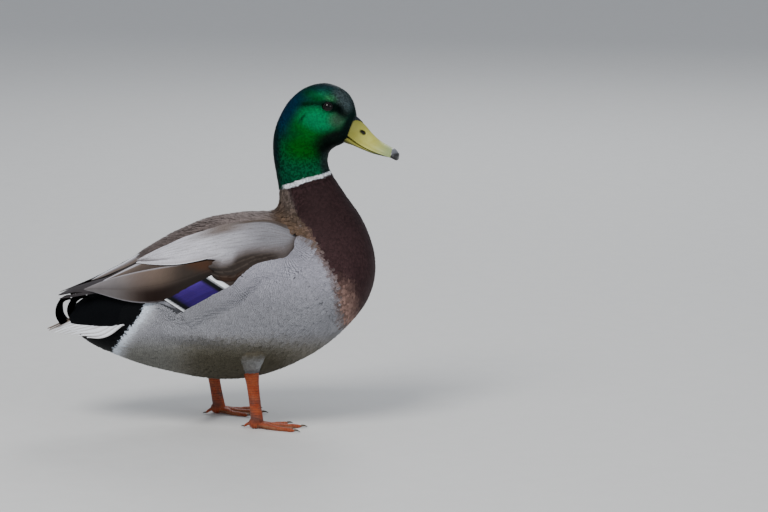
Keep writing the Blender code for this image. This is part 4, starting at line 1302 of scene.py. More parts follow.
def build_quills(side, word, finish, place):
    """Primaries, then secondaries, then the long inner feathers over them."""
    beside = lambda along, high, height: from_side(along, high, 81.4 + 0.4 * along + height) * [1, side, 1]
    secondaries = [(slanted(-8, 54.4, 3.4 * k - 4.2, 3.4 * k + 5.4), -2.4 - 0.10 * k, -1.82 - 0.08 * k, 0.2)
                   for k in range(6, -1, -1)]
    coverts = [(slanted(-26, 0.4, 3.6 * k - 3.4, 3.6 * k + 5.2), -2.4 - 0.04 * k, -1.3 - 0.04 * k, 0.2)
               for k in range(6)]
    for name, blades, where, colours, relief in (
        ("primaries", [(between(*PRIMARY), -2.9, -1.5, 0.5)], place, primary_colours, 0.5),
        ("lower_primary", [(between(*LOWER_PRIMARY), -1.0, 0.0, 0.3)], beside, primary_colours, 0.5),
        ("secondaries", secondaries, place, secondary_colours, 0.5),
        ("greater_coverts", coverts, place, greater_covert_colours, 0.5),
        ("tertial_inner", [(between(*TERTIAL_B), -2.9, -1.9, 0.6)], place, inner_tertial_colours, 0.6),
        ("tertial_outer", [(between(*TERTIAL_A), -2.6, -1.1, 0.8)], place, tertial_colours, 0.7),
    ):
        lay_blades(f"{name}_{word}", blades, where, colours, finish, relief=relief)


def scapular_lanes():
    """Blades in lanes, each lane overlapping the one below it."""
    lines = (SCAPULARS_TOP, SCAPULARS_MIDDLE, SCAPULARS_FRONT, SCAPULARS_LOW)
    top, middle, inner, low = (resample(line, 60) for line in lines)
    blades = []
    for lane in range(11):
        rise = lane / 10
        if lane < 5:
            line = low + (inner - low) * (lane / 4)
        else:
            line = middle + (top - middle) * ((lane - 4.6) / 5.4)
        marks = distances(line)
        length, gap = 30 + 30 * rise, 9.5 + 3 * rise
        for k in range(max(int((marks[-1] - length * 0.55) / gap) + 1, 2)):
            tip = marks[-1] - k * gap - (lane % 2) * gap * 0.5 - chance.uniform(-1, 1)
            places = np.linspace(max(tip - length, -6), tip, 12)
            centre = on_line(line, marks, places)
            ahead_of_line = np.maximum(-places, 0)[:, None] / 6
            centre = centre + (line[0] - line[3]) * ahead_of_line + chance.normal(0, 0.35, 2)
            at = int(np.clip(tip / marks[-1] * 59, 0, 59))
            slim = np.clip((np.linalg.norm(top[at] - middle[at]) + 5) / 24, 0.35, 1) if lane > 4 else 1.0
            outline = blade(centre, (4.6 + 1.0 * rise) * slim, "round" if rise < 0.35 else "point")
            blades.append((outline, -2.0 + 0.5 * rise, -0.2 + 0.3 * rise - 0.2 * tip / marks[-1], 0.4 * slim))
    return blades


def build_innermost_tertial(side, word, finish):
    """The long feather beside the middle of the back, which leaves the wing's surface towards its tip."""
    def on_back(along, high, height):
        upper, lower = (line_at_x(along, edge) for edge in INNERMOST)
        down = np.clip((upper - high) / np.maximum(upper - lower, 0.5), 0, 1) - 0.5
        behind = ramp(-62, -137, along)
        beside = 13 - 5 * behind + 2 * np.clip((upper - lower) * 1.15, 0.6, 9.5) * down
        return from_side(along, high + height - 1.6 * behind, beside) * [1, side, 1]

    outline = between(*INNERMOST)
    lay_blades(f"innermost_tertial_{word}", [(outline, -1.2, 0.0, 0.5)], on_back, innermost_colours, finish,
               relief=0.6)


def build_small_coverts(word, finish, place):
    """Small feathers on the bend of the wing, in front of and under the scapulars."""
    blades = []
    for row, k in np.ndindex(5, 7):
        tip = np.array([66 - 13 * row + 1.5 * k, 196 - 8.5 * k - 3.0 * row])
        start = tip + [15, 7]
        if -1 <= tip[1] - line_at_x(tip[0], SCAPULARS_LOW) <= 16:
            outline = blade((start, (start + tip) / 2 + [0, 0.6], tip), 4.4, "round", 0.7)
            blades.append((outline, -3.2, -2.0, 0.5))
    lay_blades(f"small_coverts_{word}", blades, place, covert_colours, finish)


# Tail feathers from the middle out: tip x y, height at the tip, camber
TAIL_FEATHERS = ((-184.6, 1.6, 0.2, 2.0), (-182.8, 5.0, -0.6, 1.3), (-179.8, 9, -1.2, 0.7),
                 (-175.8, 13.4, -1.3, 0.4), (-170.5, 18.2, -1.2, 0.4), (-164.5, 23, -0.8, 0.4),
                 (-157.5, 27.8, -0.4, 0.4), (-149.5, 31.8, -0.8, 0.4), (-140, 34.8, -1.6, 0.4))


def build_tail(finish):
    for side, word in SIDES:
        blades = []
        for k, (tip_x, tip_y, height, camber) in enumerate(TAIL_FEATHERS):
            root = (-103 + 1.1 * k, 3 + 4.45 * k)
            middle = (0.5 * (root[0] + tip_x), 0.5 * (root[1] + tip_y) + 1.6)
            raised = 3.4 + 0.35 * k + max(0, 5 - k) * 0.5
            blades.append((blade((root, middle, (tip_x, tip_y)), 6.9, "point", 0.75), raised, height, camber))
        place = lambda x, y, height: on_tail(x, y, height, side)
        lay_blades(f"tail_feathers_{word}", blades[::-1], place, tail_colours, finish, "tail_feathers",
                   ("tail",) if side < 0 else ())


def tail_colours(x, y, share, across):
    outer = ramp(6, 10, y)
    colour = painted(
        UMBER * 0.36,
        (WHITE * 1.12, outer),
        (UMBER * 1.6, ramp(-0.86, -0.98, across) * outer * 0.6),
        (FAWN * 1.3, ramp(0.7, 0.95, np.abs(across)) * (1 - outer)),
        (UMBER * 2, ramp(0.14, 0.04, np.abs(across)) * 0.55),
    )
    return colour, 0.25 * (1 - outer), 0 * x


# Curled feathers: distance from the middle, then places along each with half its width there
CURLS = {
    "outer": (5.2, ((-159, 101, 3.2), (-165.6, 104.2, 3.9), (-170.3, 110.2, 3.9), (-171.6, 117, 3.5),
                    (-170.4, 123.6, 2.6), (-166.4, 128, 1.8), (-161.2, 129.6, 1.3), (-156.4, 128.6, 0.7))),
    "inner": (8.8, ((-147, 104, 4.2), (-153.8, 108, 4.2), (-158.2, 113.6, 4.0), (-158.9, 119.6, 3.8),
                    (-156.6, 125.6, 3.2), (-151.4, 130.2, 2.4), (-145.5, 132, 1.8), (-140, 131, 1.0))),
}


def build_curls(finish):
    across, share = np.linspace(-1, 1, BLADE_COLUMNS)[None], np.linspace(0, 1, 40)[:, None]
    zero = 0 * share + 0 * across
    for side, word in SIDES:
        for name, (y, places) in CURLS.items():
            rows = spline(places, share[:, 0] * (len(places) - 1))
            line, half = rows[:, :2], rows[:, 2:]
            ahead = unit(np.gradient(line, axis=0))
            out = np.stack([-ahead[:, 1], ahead[:, 0]], -1)
            flat = line[:, None] + out[:, None] * (half * across)[..., None]
            top = from_side(flat[..., 0], flat[..., 1], side * (y + 3 * share + 0.9 * (1 - across**2)))
            beside = np.array([0, side, 0.0])
            layers = {"plumage": np.broadcast_to(BLACK * 1.3, zero.shape + (3,)), "bars": zero,
                      "sheen": zero + 0.15, "along": zero + share, "across": zero + across,
                      "course": zero + share * 50, "side": across * half, "shift": zero}
            layers = {key: layer[None] for key, layer in layers.items()}
            curved = np.stack([out[:, 0], 0 * out[:, 0], out[:, 1]], -1)[:, None] * across[..., None]
            shading = unit(beside + 0.5 * curved)[None]
            made = plates(f"curled_feather_{name}_{word}", top[None], -beside * 0.6 * MM + 0 * top[None],
                          layers, [side < 0], shading)
            finish_piece(made, finish, "curl_feathers", f"curl_{name}_{word}")


# -------- bill, eyes and claws


UPPER_LEVEL, UPPER_SQUARENESS = 0.16, 1.85
UPPER_GRID, LOWER_GRID = (150, 96), (110, 72)  # rows from root to tip and points round each
NOSTRIL = np.array([151.6, 8.3, 310.8]) * MM
NOSTRIL_SLOPE = math.radians(-35)
NAIL_ROW = 92  # the row of the upper half where the nail begins


def bill_loft(table, level, squareness, grid):
    rows, sides = grid
    place = np.linspace(0, len(table) - 1, rows)[:, None]
    columns = np.moveaxis(spline(table, place), -1, 0)
    return egg(*columns, level, 0.0, squareness, np.arange(sides)[None] / sides)


def bill_shares(grid):
    rows, sides = grid
    return np.meshgrid(np.linspace(0, 1, rows), np.arange(sides) / sides, indexing="ij")


def bill_part(name, points, painted_shade, finish):
    """One half of the bill, whose layers say how far along and round it a place is and how much painted shade
    it has.
    """
    flat, faces = closed_tube(turned(points))
    run, turn = bill_shares(points.shape[:2])
    layers = {"run": np.append(run, [0, 1]), "round": np.append(turn, [0, 0]), "painted_shade": painted_shade}
    finish_piece(make_mesh(f"{name}_bill", flat, faces, layers), finish, "bill", f"bill_{name}")


def build_bill(finish):
    upper = bill_loft(UPPER_BILL, UPPER_LEVEL, UPPER_SQUARENESS, UPPER_GRID)
    share, turn = bill_shares(UPPER_GRID)
    hole = np.zeros(UPPER_GRID)
    for side, _ in SIDES:
        x, _, z = np.moveaxis(upper - NOSTRIL * [1, side, 1], -1, 0)
        along = x * math.cos(NOSTRIL_SLOPE) + z * math.sin(NOSTRIL_SLOPE)
        rise = z * math.cos(NOSTRIL_SLOPE) - x * math.sin(NOSTRIL_SLOPE)
        ring = np.hypot(along / (4.3 * MM), rise / (2.4 * MM))
        beside = side * upper[..., 1] > 0
        # the nostril's hollow gets painted shade
        hole = hole + (1 - ramp(0.62, 0.95, ring)) * beside
        upper[..., 1] -= side * (1 - ramp(0.5, 1.0, ring)) * beside * 2.8 * MM
        upper[..., 1] += side * np.exp(-((ring - 1.3) / 0.3) ** 2) * beside * 0.25 * MM
    # a raised lip along the cutting edge, with a shallow groove over it
    height, outward = np.sin(2 * math.pi * turn), np.cos(2 * math.pi * turn)
    lip = np.exp(-((height + 0.12) / 0.10) ** 2) * ramp(0.10, 0.3, share)
    groove = np.exp(-((height - 0.16) / 0.10) ** 2) * ramp(0.10, 0.3, share)
    outward = np.sign(outward) * ramp(0.1, 0.5, np.abs(outward))
    upper[..., 1] += outward * (0.35 * lip - 0.25 * groove) * MM
    bill_part("upper", upper, np.append(hole, [0, 0]), finish)
    # the lower half is hollow underneath, with painted shade that grows towards its tip
    lower = bill_loft(LOWER_BILL, 0.86, 2.2, LOWER_GRID)
    run, turn = bill_shares(LOWER_GRID)
    under = ramp(0, 1, -np.sin(2 * math.pi * turn))
    lower[..., 2] += 1.7 * MM * ramp(0.1, 0.3, run) * ramp(1.0, 0.8, run) * under
    bill_part("lower", lower, np.interp(np.append(run, [0, 1]), [0.2, 0.7], [0.1, 0.75]), finish)


def build_nail(finish):
    """The nail is a shell over the tip, hooked a little down."""
    tip = bill_loft(UPPER_BILL, UPPER_LEVEL, UPPER_SQUARENESS, UPPER_GRID)[NAIL_ROW:]
    centre = tip.mean(axis=1, keepdims=True)
    back = np.arange(len(tip))[:, None]
    rise = np.sin(2 * math.pi * np.arange(UPPER_GRID[1]) / UPPER_GRID[1])[None]
    start = 9 + 10 * np.abs(tip[..., 1] / (11 * MM)) ** 2
    wrap = 1.5 * ramp(12, 24, back)
    over = ramp(-0.1 - wrap, 0.35 - wrap, rise) * ramp(start - 1, start + 5, back)
    swell = 0.95 + 0.085 * over + 0.30 * ramp(36, 50, back)
    grown = centre + (tip - centre) * swell[..., None] + np.array([0.35, 0, 0.1]) * MM * over[..., None]
    grown[..., 2] -= (0.5 + 1.3 * ramp(0.4, -0.5, rise)) * MM * ramp(16, 42, back)
    flat, faces = closed_tube(turned(grown))
    # run is lowest at the nail's back and top, where the finish's pale grey root colour paints a highlight on
    # the black nail
    run = np.append(ramp(-0.5, 0.7, back / len(tip) - 0.6 * rise), [1, 1])
    finish_piece(make_mesh("nail_of_bill", flat, faces, {"run": run}), finish, "bill_nail", "bill_nail")


def bill_outside(station, turn):
    columns = np.moveaxis(spline(UPPER_BILL, station), -1, 0)
    return turned(egg(*columns, UPPER_LEVEL, 0.0, UPPER_SQUARENESS, turn))


def on_forehead_point(points):
    """Inside the point that the forehead's plumage makes on the ridge of the bill."""
    x, y, z = np.moveaxis(turned(points[:, 0], -1.0) / MM, -1, 0)
    return (np.abs(y) < 5.6 * (150.5 - x) / 8.0) & (z > 312)


def mark_forehead_point(station, turn, stray):
    tone = mix(rgb(0.012, 0.020, 0.022), rgb(0.030, 0.034, 0.040), chance.random(station.shape))
    return tone, 0 * station, 0.2 + 0 * station, 0.2 + 0 * station


def build_forehead_point(finish):
    chart = lambda station, turn: chart_place(24 + 0 * station, turn)
    coat("forehead_point", bill_outside, mark_forehead_point, chart, (0.9, 1.8), 1.0, 0.9, (2.6, 1.7),
         finish, "head_feathers", 0.2, 0.7, rows=4, keep=on_forehead_point, margin=0.8)


def round_eye(side, out, spoke):
    """Directions from the eye's centre, by their angle from its gaze and their angle round it."""
    gaze = unit(turned(np.array([EYE[0] + 6, (EYE[1] + 24) * side, EYE[2] + 3.0]) * MM) - eye_centre(side))
    up = unit(UP - gaze * gaze[2])
    left = np.cross(up, gaze)
    sideways, upward = np.sin(out) * np.cos(spoke), np.sin(out) * np.sin(spoke)
    return gaze * np.cos(out)[..., None] + left * sideways[..., None] + up * upward[..., None]


# Round the lid's edge: degrees out from the opening, height over the eye
LID_SECTION = ((0, 0.05), (-1.2, 0.22), (1.5, 0.40), (7, 0.40), (14, 0.2), (26, -0.3), (26, -0.9), (8, -0.2))


def build_lids():
    """A soft rim round each eye, pointed a little in front and behind."""
    made = []
    for side, word in SIDES:
        spoke = np.linspace(0, 2 * math.pi, 72, endpoint=False)
        opening = np.radians(31 + 10.0 * np.abs(np.cos(spoke)) ** 1.6)
        section = np.array(LID_SECTION)
        out = opening[None] + np.radians(section[:, 0])[:, None]
        radius = (EYE_RADIUS + section[:, 1])[:, None] * MM
        points = eye_centre(side) + round_eye(side, out, spoke) * radius[..., None]
        faces = grid_faces(len(section) + 1, len(spoke), closed=True)[:, ::side] % out.size
        lower_rim = ramp(0.3, 0.9, -np.sin(spoke)) * (np.arange(len(section))[:, None] == 2)
        tone = mix(rgb(0.0015, 0.0018, 0.0017), rgb(0.030, 0.040, 0.036), lower_rim).reshape(-1, 3)
        made.append(flesh_part(f"lid_{word}", points.reshape(-1, 3), [faces], tone))
    return made


def build_eyes(finish):
    for side, word in SIDES:
        rings, spokes = np.linspace(0, math.pi, 48), np.linspace(0, 2 * math.pi, 64, endpoint=False)
        out, spoke = np.meshgrid(rings, spokes, indexing="ij")
        radius = EYE_RADIUS * MM * (1 + 0.03 * np.exp(-((out / 0.5) ** 2)))
        flat, faces = closed_tube(eye_centre(side) + round_eye(side, out, spoke) * radius[..., None])
        layers = {"ring": np.append(out, [0, math.pi]), "spoke": np.append(spoke, [0, 0])}
        finish_piece(make_mesh(f"eyeball_{word}", flat, faces, layers), finish, "eye", f"eye_{word}")


def build_claws(finish):
    for side, word in SIDES:
        for name in ("inner", "middle", "outer", "hind"):
            node = f"claw_{word}_{name}"
            low, high = (np.array(c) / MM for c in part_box(node))
            ahead = toe_heading(side, name)
            length, radius = (3.6, 1.0) if name == "hind" else (6.2, 1.4)
            middle = (low + high) / 2
            start = middle - ahead * length * 0.62
            start[2] = low[2] + (high[2] - low[2]) * 0.55
            share = np.linspace(0, 1, 24)
            line = start + np.outer(share, ahead) * length * 1.12
            line[:, 2] += 0.35 * radius * np.sin(share * math.pi) - (line[0, 2] - low[2] - 0.35) * share**1.7
            left = np.cross(UP, ahead)
            r = radius * (1 - share) ** 0.62 * 0.92 + 0.12
            reaches = [(left * k * 0.8 * MM, np.array([0, 0, k * 0.95]) * MM) for k in r]
            points, faces = sleeve(line * MM, reaches)
            run = np.concatenate([np.repeat(share, 20), [0, 1]])
            finish_piece(make_mesh(f"nail_{word}_{name}", points, faces, {"run": run}), finish, "claw", node)


# -------- materials


FULL_TURN, HALF_TURN = 6.2832, 3.1416  # in radians, for waves


class Value:
    """A number or vector inside a material, which takes ordinary arithmetic."""

    def __init__(self, tree, socket):
        self.tree, self.socket = tree, socket

    def node(self, kind, settings=None, **inputs):
        """A new node. Its inputs are given by name, or by number as i0, i1 and so on."""
        made = self.tree.nodes.new(kind)
        for key, value in (settings or {}).items():
            setattr(made, key, value)
        for key, value in inputs.items():
            wanted = int(key[1:]) if key[0] == "i" and key[1:].isdigit() else key.replace("_", " ")
            socket = made.inputs[wanted]
            if isinstance(value, Value):
                self.tree.links.new(value.socket, socket)
            else:
                socket.default_value = value
        return made

    def value(self, kind, settings=None, output=0, **inputs):
        """What a new node gives out."""
        return Value(self.tree, self.node(kind, settings, **inputs).outputs[output])

    def math(self, operation, *others, clamp=False):
        inputs = {f"i{k}": value for k, value in enumerate((self,) + others)}
        return self.value("ShaderNodeMath", {"operation": operation, "use_clamp": clamp}, **inputs)

    def __add__(self, other):
        return self.math("ADD", other)

    __radd__ = __add__

    def __sub__(self, other):
        return self.math("SUBTRACT", other)

    def __rsub__(self, other):
        return self.value("ShaderNodeMath", {"operation": "SUBTRACT"}, i0=other, i1=self)

    def __mul__(self, other):
        return self.math("MULTIPLY", other)

    __rmul__ = __mul__

    def __abs__(self):
        return self.math("ABSOLUTE")

    def sine(self):
        return self.math("SINE")

    def clip(self):
        return self.math("ADD", 0.0, clamp=True)

    def ramp(self, low, high):
        settings = {"interpolation_type": "SMOOTHSTEP"}
        return self.value("ShaderNodeMapRange", settings, i0=self, i1=low, i2=high)

    def tint(self, low, high):
        """A colour from low at 0 to high at 1, each three numbers or a colour inside the material."""
        low, high = (colour if isinstance(colour, Value) else (*colour, 1) for colour in (low, high))
        return self.value("ShaderNodeMix", {"data_type": "RGBA"}, 2, i0=self, i6=low, i7=high)

    def scaled(self, amount):
        """A colour times a number."""
        return self.value("ShaderNodeVectorMath", {"operation": "MULTIPLY"}, i0=self, i1=amount)


class Finish:
    """A material and what feeds its Principled shader."""

    def __init__(self, name, **constants):
        self.material = bpy.data.materials.new(name)
        self.material.use_nodes = True
        self.tree = self.material.node_tree
        self.tree.nodes.clear()
        self.shader = self.tree.nodes.new("ShaderNodeBsdfPrincipled")
        out = self.tree.nodes.new("ShaderNodeOutputMaterial")
        self.tree.links.new(self.shader.outputs[0], out.inputs[0])
        for key, value in constants.items():
            self.shader.inputs[key.replace("_", " ")].default_value = value
        self.zero = Value(self.tree, None)  # has no socket of its own, and makes the first nodes

    def stored(self, *names, output="Fac"):
        """The values that the meshes carry under these names."""
        values = [self.zero.value("ShaderNodeAttribute", {"attribute_name": name}, output) for name in names]
        return values if len(names) > 1 else values[0]

    def place(self):
        return self.zero.value("ShaderNodeTexCoord", output="Object")

    def point(self, x, y, z=0.0):
        return self.zero.value("ShaderNodeCombineXYZ", i0=x, i1=y, i2=z)

    def noise(self, place, scale, detail=2.0, rough=0.5):
        inputs = {"Vector": place, "Scale": scale, "Detail": detail, "Roughness": rough}
        return self.zero.value("ShaderNodeTexNoise", **inputs)

    def cells(self, place, scale, feature="F1"):
        return self.zero.value("ShaderNodeTexVoronoi", {"feature": feature}, Vector=place, Scale=scale)

    def feed(self, **links):
        for key, value in links.items():
            self.tree.links.new(value.socket, self.shader.inputs[key.replace("_", " ")])

    def bump(self, height, strength, distance):
        made = self.zero.node("ShaderNodeBump", None, Height=height, Strength=strength, Distance=distance)
        self.tree.links.new(made.outputs[0], self.shader.inputs["Normal"])


def feather_finish(name, barb=0.5, bar_pitch=1.35, soft=0.6, gloss=0.08, edge=(1, 1, 1, 1)):
    finish = Finish(name, Specular_IOR_Level=gloss, Specular_Tint=edge)
    colour = finish.stored("plumage", output="Color")
    bars, sheen, along, across = finish.stored("bars", "sheen", "along", "across")
    course, side, shift = finish.stored("course", "side", "shift")
    apart = abs(side)
    run = course + apart * 1.15
    barbs = finish.noise(finish.point(run * 2.6, side * 0.25, shift * 40), 1.0, 3.0, 0.6)
    wave = finish.noise(finish.point(course * 0.35, side * 0.35, shift * 30), 1.0, 2.0)
    lines = ((course + apart * 0.3 + wave * 2.2) * (FULL_TURN / bar_pitch)).sine()
    dark = lines.ramp(0.05, 0.75) * bars * 0.62
    shaft = (1.0 - apart.ramp(0.05, 0.28)) * 0.22 * (1.0 - sheen)
    rim = abs(across).ramp(0.7, 1.0).math("MAXIMUM", along.ramp(0.84, 1.0))
    # Each feather is darker towards its base, painted shade where the next feather covers it, and lighter at
    # its rim, a painted highlight
    level = (barbs - 0.5) * barb + 1.0 - dark - shaft - (1.0 - along.ramp(0.0, 0.45)) * 0.18 + rim * 0.10
    large = finish.noise(finish.place(), 55.0, 3.0)
    tint = colour.scaled(level * (large * 0.3 + 0.85))
    # The sheen parts the light: blue and violet where barbs stand up, green elsewhere
    share = sheen * (1.0 - barbs.ramp(0.35, 0.6)) * 0.4
    settings = {"data_type": "RGBA", "blend_type": "MULTIPLY"}
    cool = tint.value("ShaderNodeMix", settings, 2, i0=share, i6=tint, i7=(0.45, 0.8, 1.5, 1))
    roughness = soft - sheen * 0.22 + (barbs - 0.5) * 0.2
    finish.feed(Base_Color=cool, Roughness=roughness, Metallic=sheen * 0.55)
    finish.bump((barbs - 0.5) * 0.5 + rim * 0.25 - dark * 0.15, 0.55, 0.00025)
    return finish.material


def skin_finish():
    finish = Finish("skin", Specular_IOR_Level=0.24)
    colour = finish.stored("plumage", output="Color")
    bars, sheen, leg, webbed = finish.stored("bars", "sheen", "leg", "web")
    place = finish.place()
    down = finish.noise(place, 900.0, 3.0, 0.65)
    large = finish.noise(place, 60.0, 3.0)
    plumage = colour.scaled((down * 0.5 + 0.6) * (large * 0.3 + 0.8) * (1.0 - bars * 0.25))
    scutes = finish.cells(place, 620.0, "DISTANCE_TO_EDGE")
    small = finish.cells(place, 1300.0, "DISTANCE_TO_EDGE")
    groove = 1.0 - scutes.ramp(0.0, 0.16)
    patches = finish.noise(place, 140.0, 4.0, 0.6)
    # broad plates across the shank and the toes
    parts = finish.zero.node("ShaderNodeSeparateXYZ", None, i0=place)
    x, z = Value(finish.tree, parts.outputs[0]), Value(finish.tree, parts.outputs[2])
    wander = finish.noise(place, 220.0, 2.0)
    low = 1.0 - z.ramp(0.006, 0.011)
    plate = abs(((z * (1.0 - low) + x * low + wander * 0.0022) * (HALF_TURN / 0.0026)).sine())
    seam = 1.0 - plate.ramp(0.08, 0.42)
    # dusky patches low on the legs, spread further as painted shade over the lower leg and foot
    dusk_and_shade = finish.noise(place, 75.0, 3.0).ramp(0.40, 0.60)
    dusk_and_shade = dusk_and_shade * z.ramp(0.002, 0.012) * (1.0 - z.ramp(0.022, 0.040))
    orange = patches.ramp(0.3, 0.7).tint((0.33, 0.046, 0.010), (0.44, 0.098, 0.030))
    web = patches.ramp(0.25, 0.75).tint((0.19, 0.070, 0.03), (0.33, 0.13, 0.06))
    horn = webbed.tint(dusk_and_shade.tint(orange, (0.17, 0.058, 0.040)), web)
    horn = horn.scaled(1.0 - groove * 0.30 - seam * (1.0 - webbed) * 0.42)
    height = scutes.ramp(0.0, 0.2) * 0.4 + small.ramp(0.0, 0.25) * 0.2
    height = height + plate.ramp(0.05, 0.6) * (1.0 - webbed)
    roughness = leg * -0.22 + 0.68 - leg * patches * 0.12
    finish.feed(Base_Color=leg.tint(plumage, horn), Roughness=roughness, Metallic=sheen * (1.0 - leg) * 0.4)
    finish.bump(height * leg + down * (1.0 - leg), 0.7, 0.0004)
    return finish.material


def bill_finish():
    finish = Finish("bill", Specular_IOR_Level=0.42)
    place = finish.place()
    run, turn, painted_shade = finish.stored("run", "round", "painted_shade")
    cloud = finish.noise(place, 90.0, 4.0, 0.6)
    fine = finish.noise(place, 700.0, 3.0, 0.6)
    pores = finish.cells(place, 900.0)
    base = cloud.ramp(0.25, 0.75).tint((0.40, 0.37, 0.055), (0.49, 0.49, 0.105))
    root = run.ramp(0.10, 0.40).tint((0.180, 0.175, 0.024), base)
    tip = run.ramp(0.42, 0.68).tint(root, (0.29, 0.35, 0.145))
    low = (turn * FULL_TURN).sine()
    # painted shade on the underside of both halves
    edge = (1.0 - low.ramp(-0.55, -0.05)) * 0.45
    # the stored painted shade darkens the nostrils and the lower half towards its tip
    colour = tip.scaled(1.0 - edge - (1.0 - pores.ramp(0.0, 0.35)) * 0.05 - painted_shade * 0.98)
    ridges = (run * 620.0).sine() * (1.0 - abs(low + 0.2).ramp(0.05, 0.22)) * 0.4
    finish.feed(Base_Color=colour, Roughness=cloud * 0.12 + fine * 0.1 + painted_shade * 0.4 + 0.30)
    finish.bump(fine * 0.5 + cloud * 0.5 + ridges, 0.35, 0.0003)
    return finish.material


def horn_finish(name, low, high, root):
    finish = Finish(name, Specular_IOR_Level=0.5)
    place, run = finish.place(), finish.stored("run")
    cloud = finish.noise(place, 260.0, 4.0, 0.6)
    lines = finish.noise(finish.point(run * 3.0, cloud * 0.6, 0.0), 9.0, 3.0)
    horn = (cloud * 0.6 + lines * 0.6 - 0.1).clip().tint(low, high)
    finish.feed(Base_Color=run.ramp(0.25, 0.60).tint(root, horn), Roughness=cloud * 0.18 + 0.24)
    finish.bump(lines * 0.6 + cloud * 0.4, 0.4, 0.0002)
    return finish.material


def eye_finish():
    finish = Finish("eye", Specular_IOR_Level=0.22, Roughness=0.04)
    ring, spoke = finish.stored("ring", "spoke")
    rays = finish.noise(finish.point(spoke * 4.5, ring * 1.6), 3.0, 4.0, 0.6)
    iris = rays.ramp(0.3, 0.7).tint((0.0018, 0.0011, 0.0009), (0.0062, 0.0032, 0.0022))
    pupil = 1.0 - (ring + (rays - 0.5) * 0.02).ramp(0.36, 0.39)
    limbus = ring.ramp(0.62, 0.74)
    finish.feed(Base_Color=pupil.math("MAXIMUM", limbus * 0.85).tint(iris, (0.002, 0.002, 0.002)))
    return finish.material


def floor_finish():
    finish = Finish("floor", Specular_IOR_Level=0.2)
    fine = finish.noise(finish.place(), 40.0, 5.0, 0.6)
    colour = fine.tint((0.60, 0.595, 0.58), (0.66, 0.655, 0.64))
    finish.feed(Base_Color=colour, Roughness=fine * 0.15 + 0.6)
    return finish.material


# -------- the duck

skin_look = skin_finish()
coat_look = feather_finish("plumage", barb=0.45)
head_look = feather_finish("head_plumage", barb=0.7, soft=0.62, gloss=0.05, edge=(0.12, 0.2, 0.2, 1))
black_look = feather_finish("black_plumage", barb=0.6, gloss=0.05)
vane_look = feather_finish("large_feathers", barb=0.5, bar_pitch=1.5)

build_flesh(skin_look)

HEAD_STATIONS = (14.25, 16, 19, 21, 23, 24)
HEAD_SIZE = (by_station(HEAD_STATIONS, (3.6, 3.8, 3.4, 2.9, 2.2, 1.6)),
             by_station(HEAD_STATIONS, (2.5, 2.3, 2.0, 1.8, 1.5, 1.2)))
RUMP_SIZE = (by_station((0.45, 0.8, 1.3), (5.0, 9.0, 13.0)), 5.6)
BESIDE_WING = {"keep": clear_of_wing, "lean": along_wing_edge, "finer": finer_at_wing_edge}
FLANK = {"raise_by": over_wing_edge, **BESIDE_WING}
COATS = (
    # name, stations, spacing of tracks, step, size, slot, finish, lift, straying of borders, more
    ("rump_coat", (0.45, 2.35), 2.8, 2.6, RUMP_SIZE, "rump_feathers", black_look, 0.0, 0.0, {}),
    ("hind_coat", (2.35, 4.3), 2.0, 2.0, (9.5, 3.3), "body_feathers", coat_look, 0.1, 0.02, FLANK),
    ("flank_coat", (4.3, 8.7), 2.9, 2.9, (14.0, 5.6), "body_feathers", coat_look, 0.2, 0.04, FLANK),
    ("breast_coat", (8.7, 12.15), 2.3, 2.3, (9.0, 4.3), "breast_feathers", coat_look, 0.2, 0.07, BESIDE_WING),
    ("neck_coat", (12.15, 13.93), 1.9, 1.8, (6.6, 3.5), "breast_feathers", coat_look, 0.15, 0.035, {}),
    ("collar_coat", (13.93, 14.30), 1.5, 1.1, (3.4, 2.0), "ring_feathers", coat_look, 0.25, 0.02, {}),
    ("nape_coat", (14.30, 19.0), 1.4, 1.25, HEAD_SIZE, "head_feathers", head_look, 0.1, 0.0,
     {"rows": 4, "relief": 0.34}),
    ("face_coat", (19.0, 23.97), 1.15, 1.1, HEAD_SIZE, "head_feathers", head_look, 0.08, 0.0,
     {"rows": 4, "relief": 0.2, "keep": clear_of_eyes}),
)
for name, span, spacing, step, size, slot, look, lift, border, more in COATS:
    coat(name, body, mark_body, chart_place, span, spacing, step, size, look, slot, coat_depth, lift,
         border=border, **{"relief": 0.12, **more})
build_wing_edge(coat_look)
for side, word in SIDES:
    build_thigh_coat(side, word, coat_look)
    build_wing(side, word, vane_look)
build_tail(vane_look)
build_curls(vane_look)
build_bill(bill_finish())
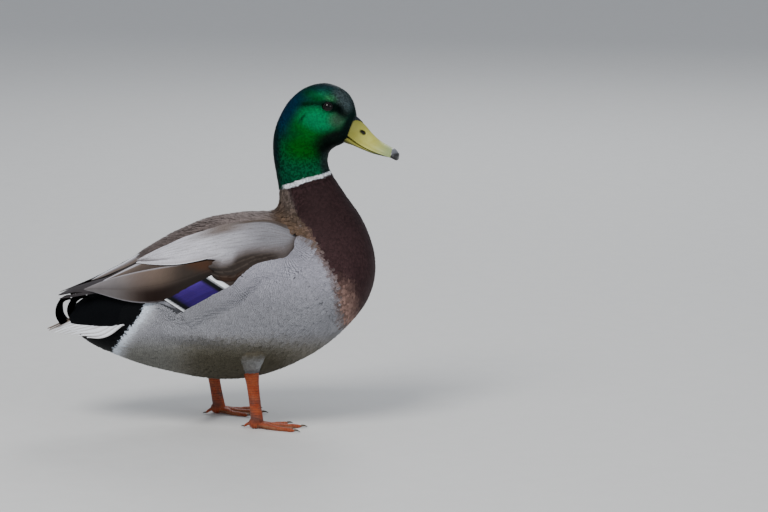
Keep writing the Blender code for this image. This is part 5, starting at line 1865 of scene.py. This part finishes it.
# the nail's pale grey is a painted highlight on its back and top; the nail itself is black
build_nail(horn_finish("bill_nail", (0.004, 0.004, 0.004), (0.018, 0.018, 0.017), (0.14, 0.145, 0.16)))
build_forehead_point(head_look)
build_eyes(eye_finish())
build_claws(horn_finish("claws", (0.010, 0.008, 0.006), (0.060, 0.045, 0.030), (0.105, 0.070, 0.042)))

# -------- floor, light and camera

FLOOR_REACH = 14.0
floor_corners = np.array([(-1, -1, 0), (1, -1, 0), (1, 1, 0), (-1, 1, 0)]) * FLOOR_REACH
floor = make_mesh("floor", floor_corners, [np.array([[0, 1, 2, 3]])])
floor.data.materials.append(floor_finish())


def lamp(name, place, target, size, power, colour):
    light = bpy.data.lights.new(name, "AREA")
    light.shape, light.size, light.energy, light.color = "DISK", size, power, colour
    made = bpy.data.objects.new(name, light)
    made.location = place
    made.rotation_mode = "QUATERNION"
    made.rotation_quaternion = (Vector(target) - Vector(place)).to_track_quat("-Z", "Y")
    bpy.context.scene.collection.objects.link(made)


lamp("key", (-0.9, -1.5, 2.3), (0.0, 0.0, 0.18), 1.3, 60, (1.0, 0.985, 0.96))
lamp("fill", (2.2, -1.6, 1.2), (0.0, 0.0, 0.18), 1.6, 16, (0.93, 0.96, 1.0))
lamp("back", (0.5, 2.4, 1.9), (0.0, 0.0, 0.2), 1.2, 28, (0.96, 0.98, 1.0))
world = bpy.data.worlds.new("studio")
world.use_nodes = True
world.node_tree.nodes["Background"].inputs[0].default_value = (0.86, 0.91, 1.0, 1)
world.node_tree.nodes["Background"].inputs[1].default_value = 0.55
bpy.context.scene.world = world

VIEW_WIDTH = 806.4  # how much the camera sees from side to side at the duck, in millimetres
camera = bpy.data.objects.new("camera", bpy.data.cameras.new("camera"))
camera.data.sensor_width = 36
camera.data.lens = camera.data.sensor_width * PROFILE_DISTANCE / VIEW_WIDTH
camera.rotation_mode = "QUATERNION"
back = Vector((0, -FLAT, RISE))
camera.location = Vector((PROFILE_X, 0, PROFILE_Z)) * MM + back * PROFILE_DISTANCE * MM
camera.rotation_quaternion = (-back).to_track_quat("-Z", "Y")
bpy.context.scene.collection.objects.link(camera)
bpy.context.scene.camera = camera
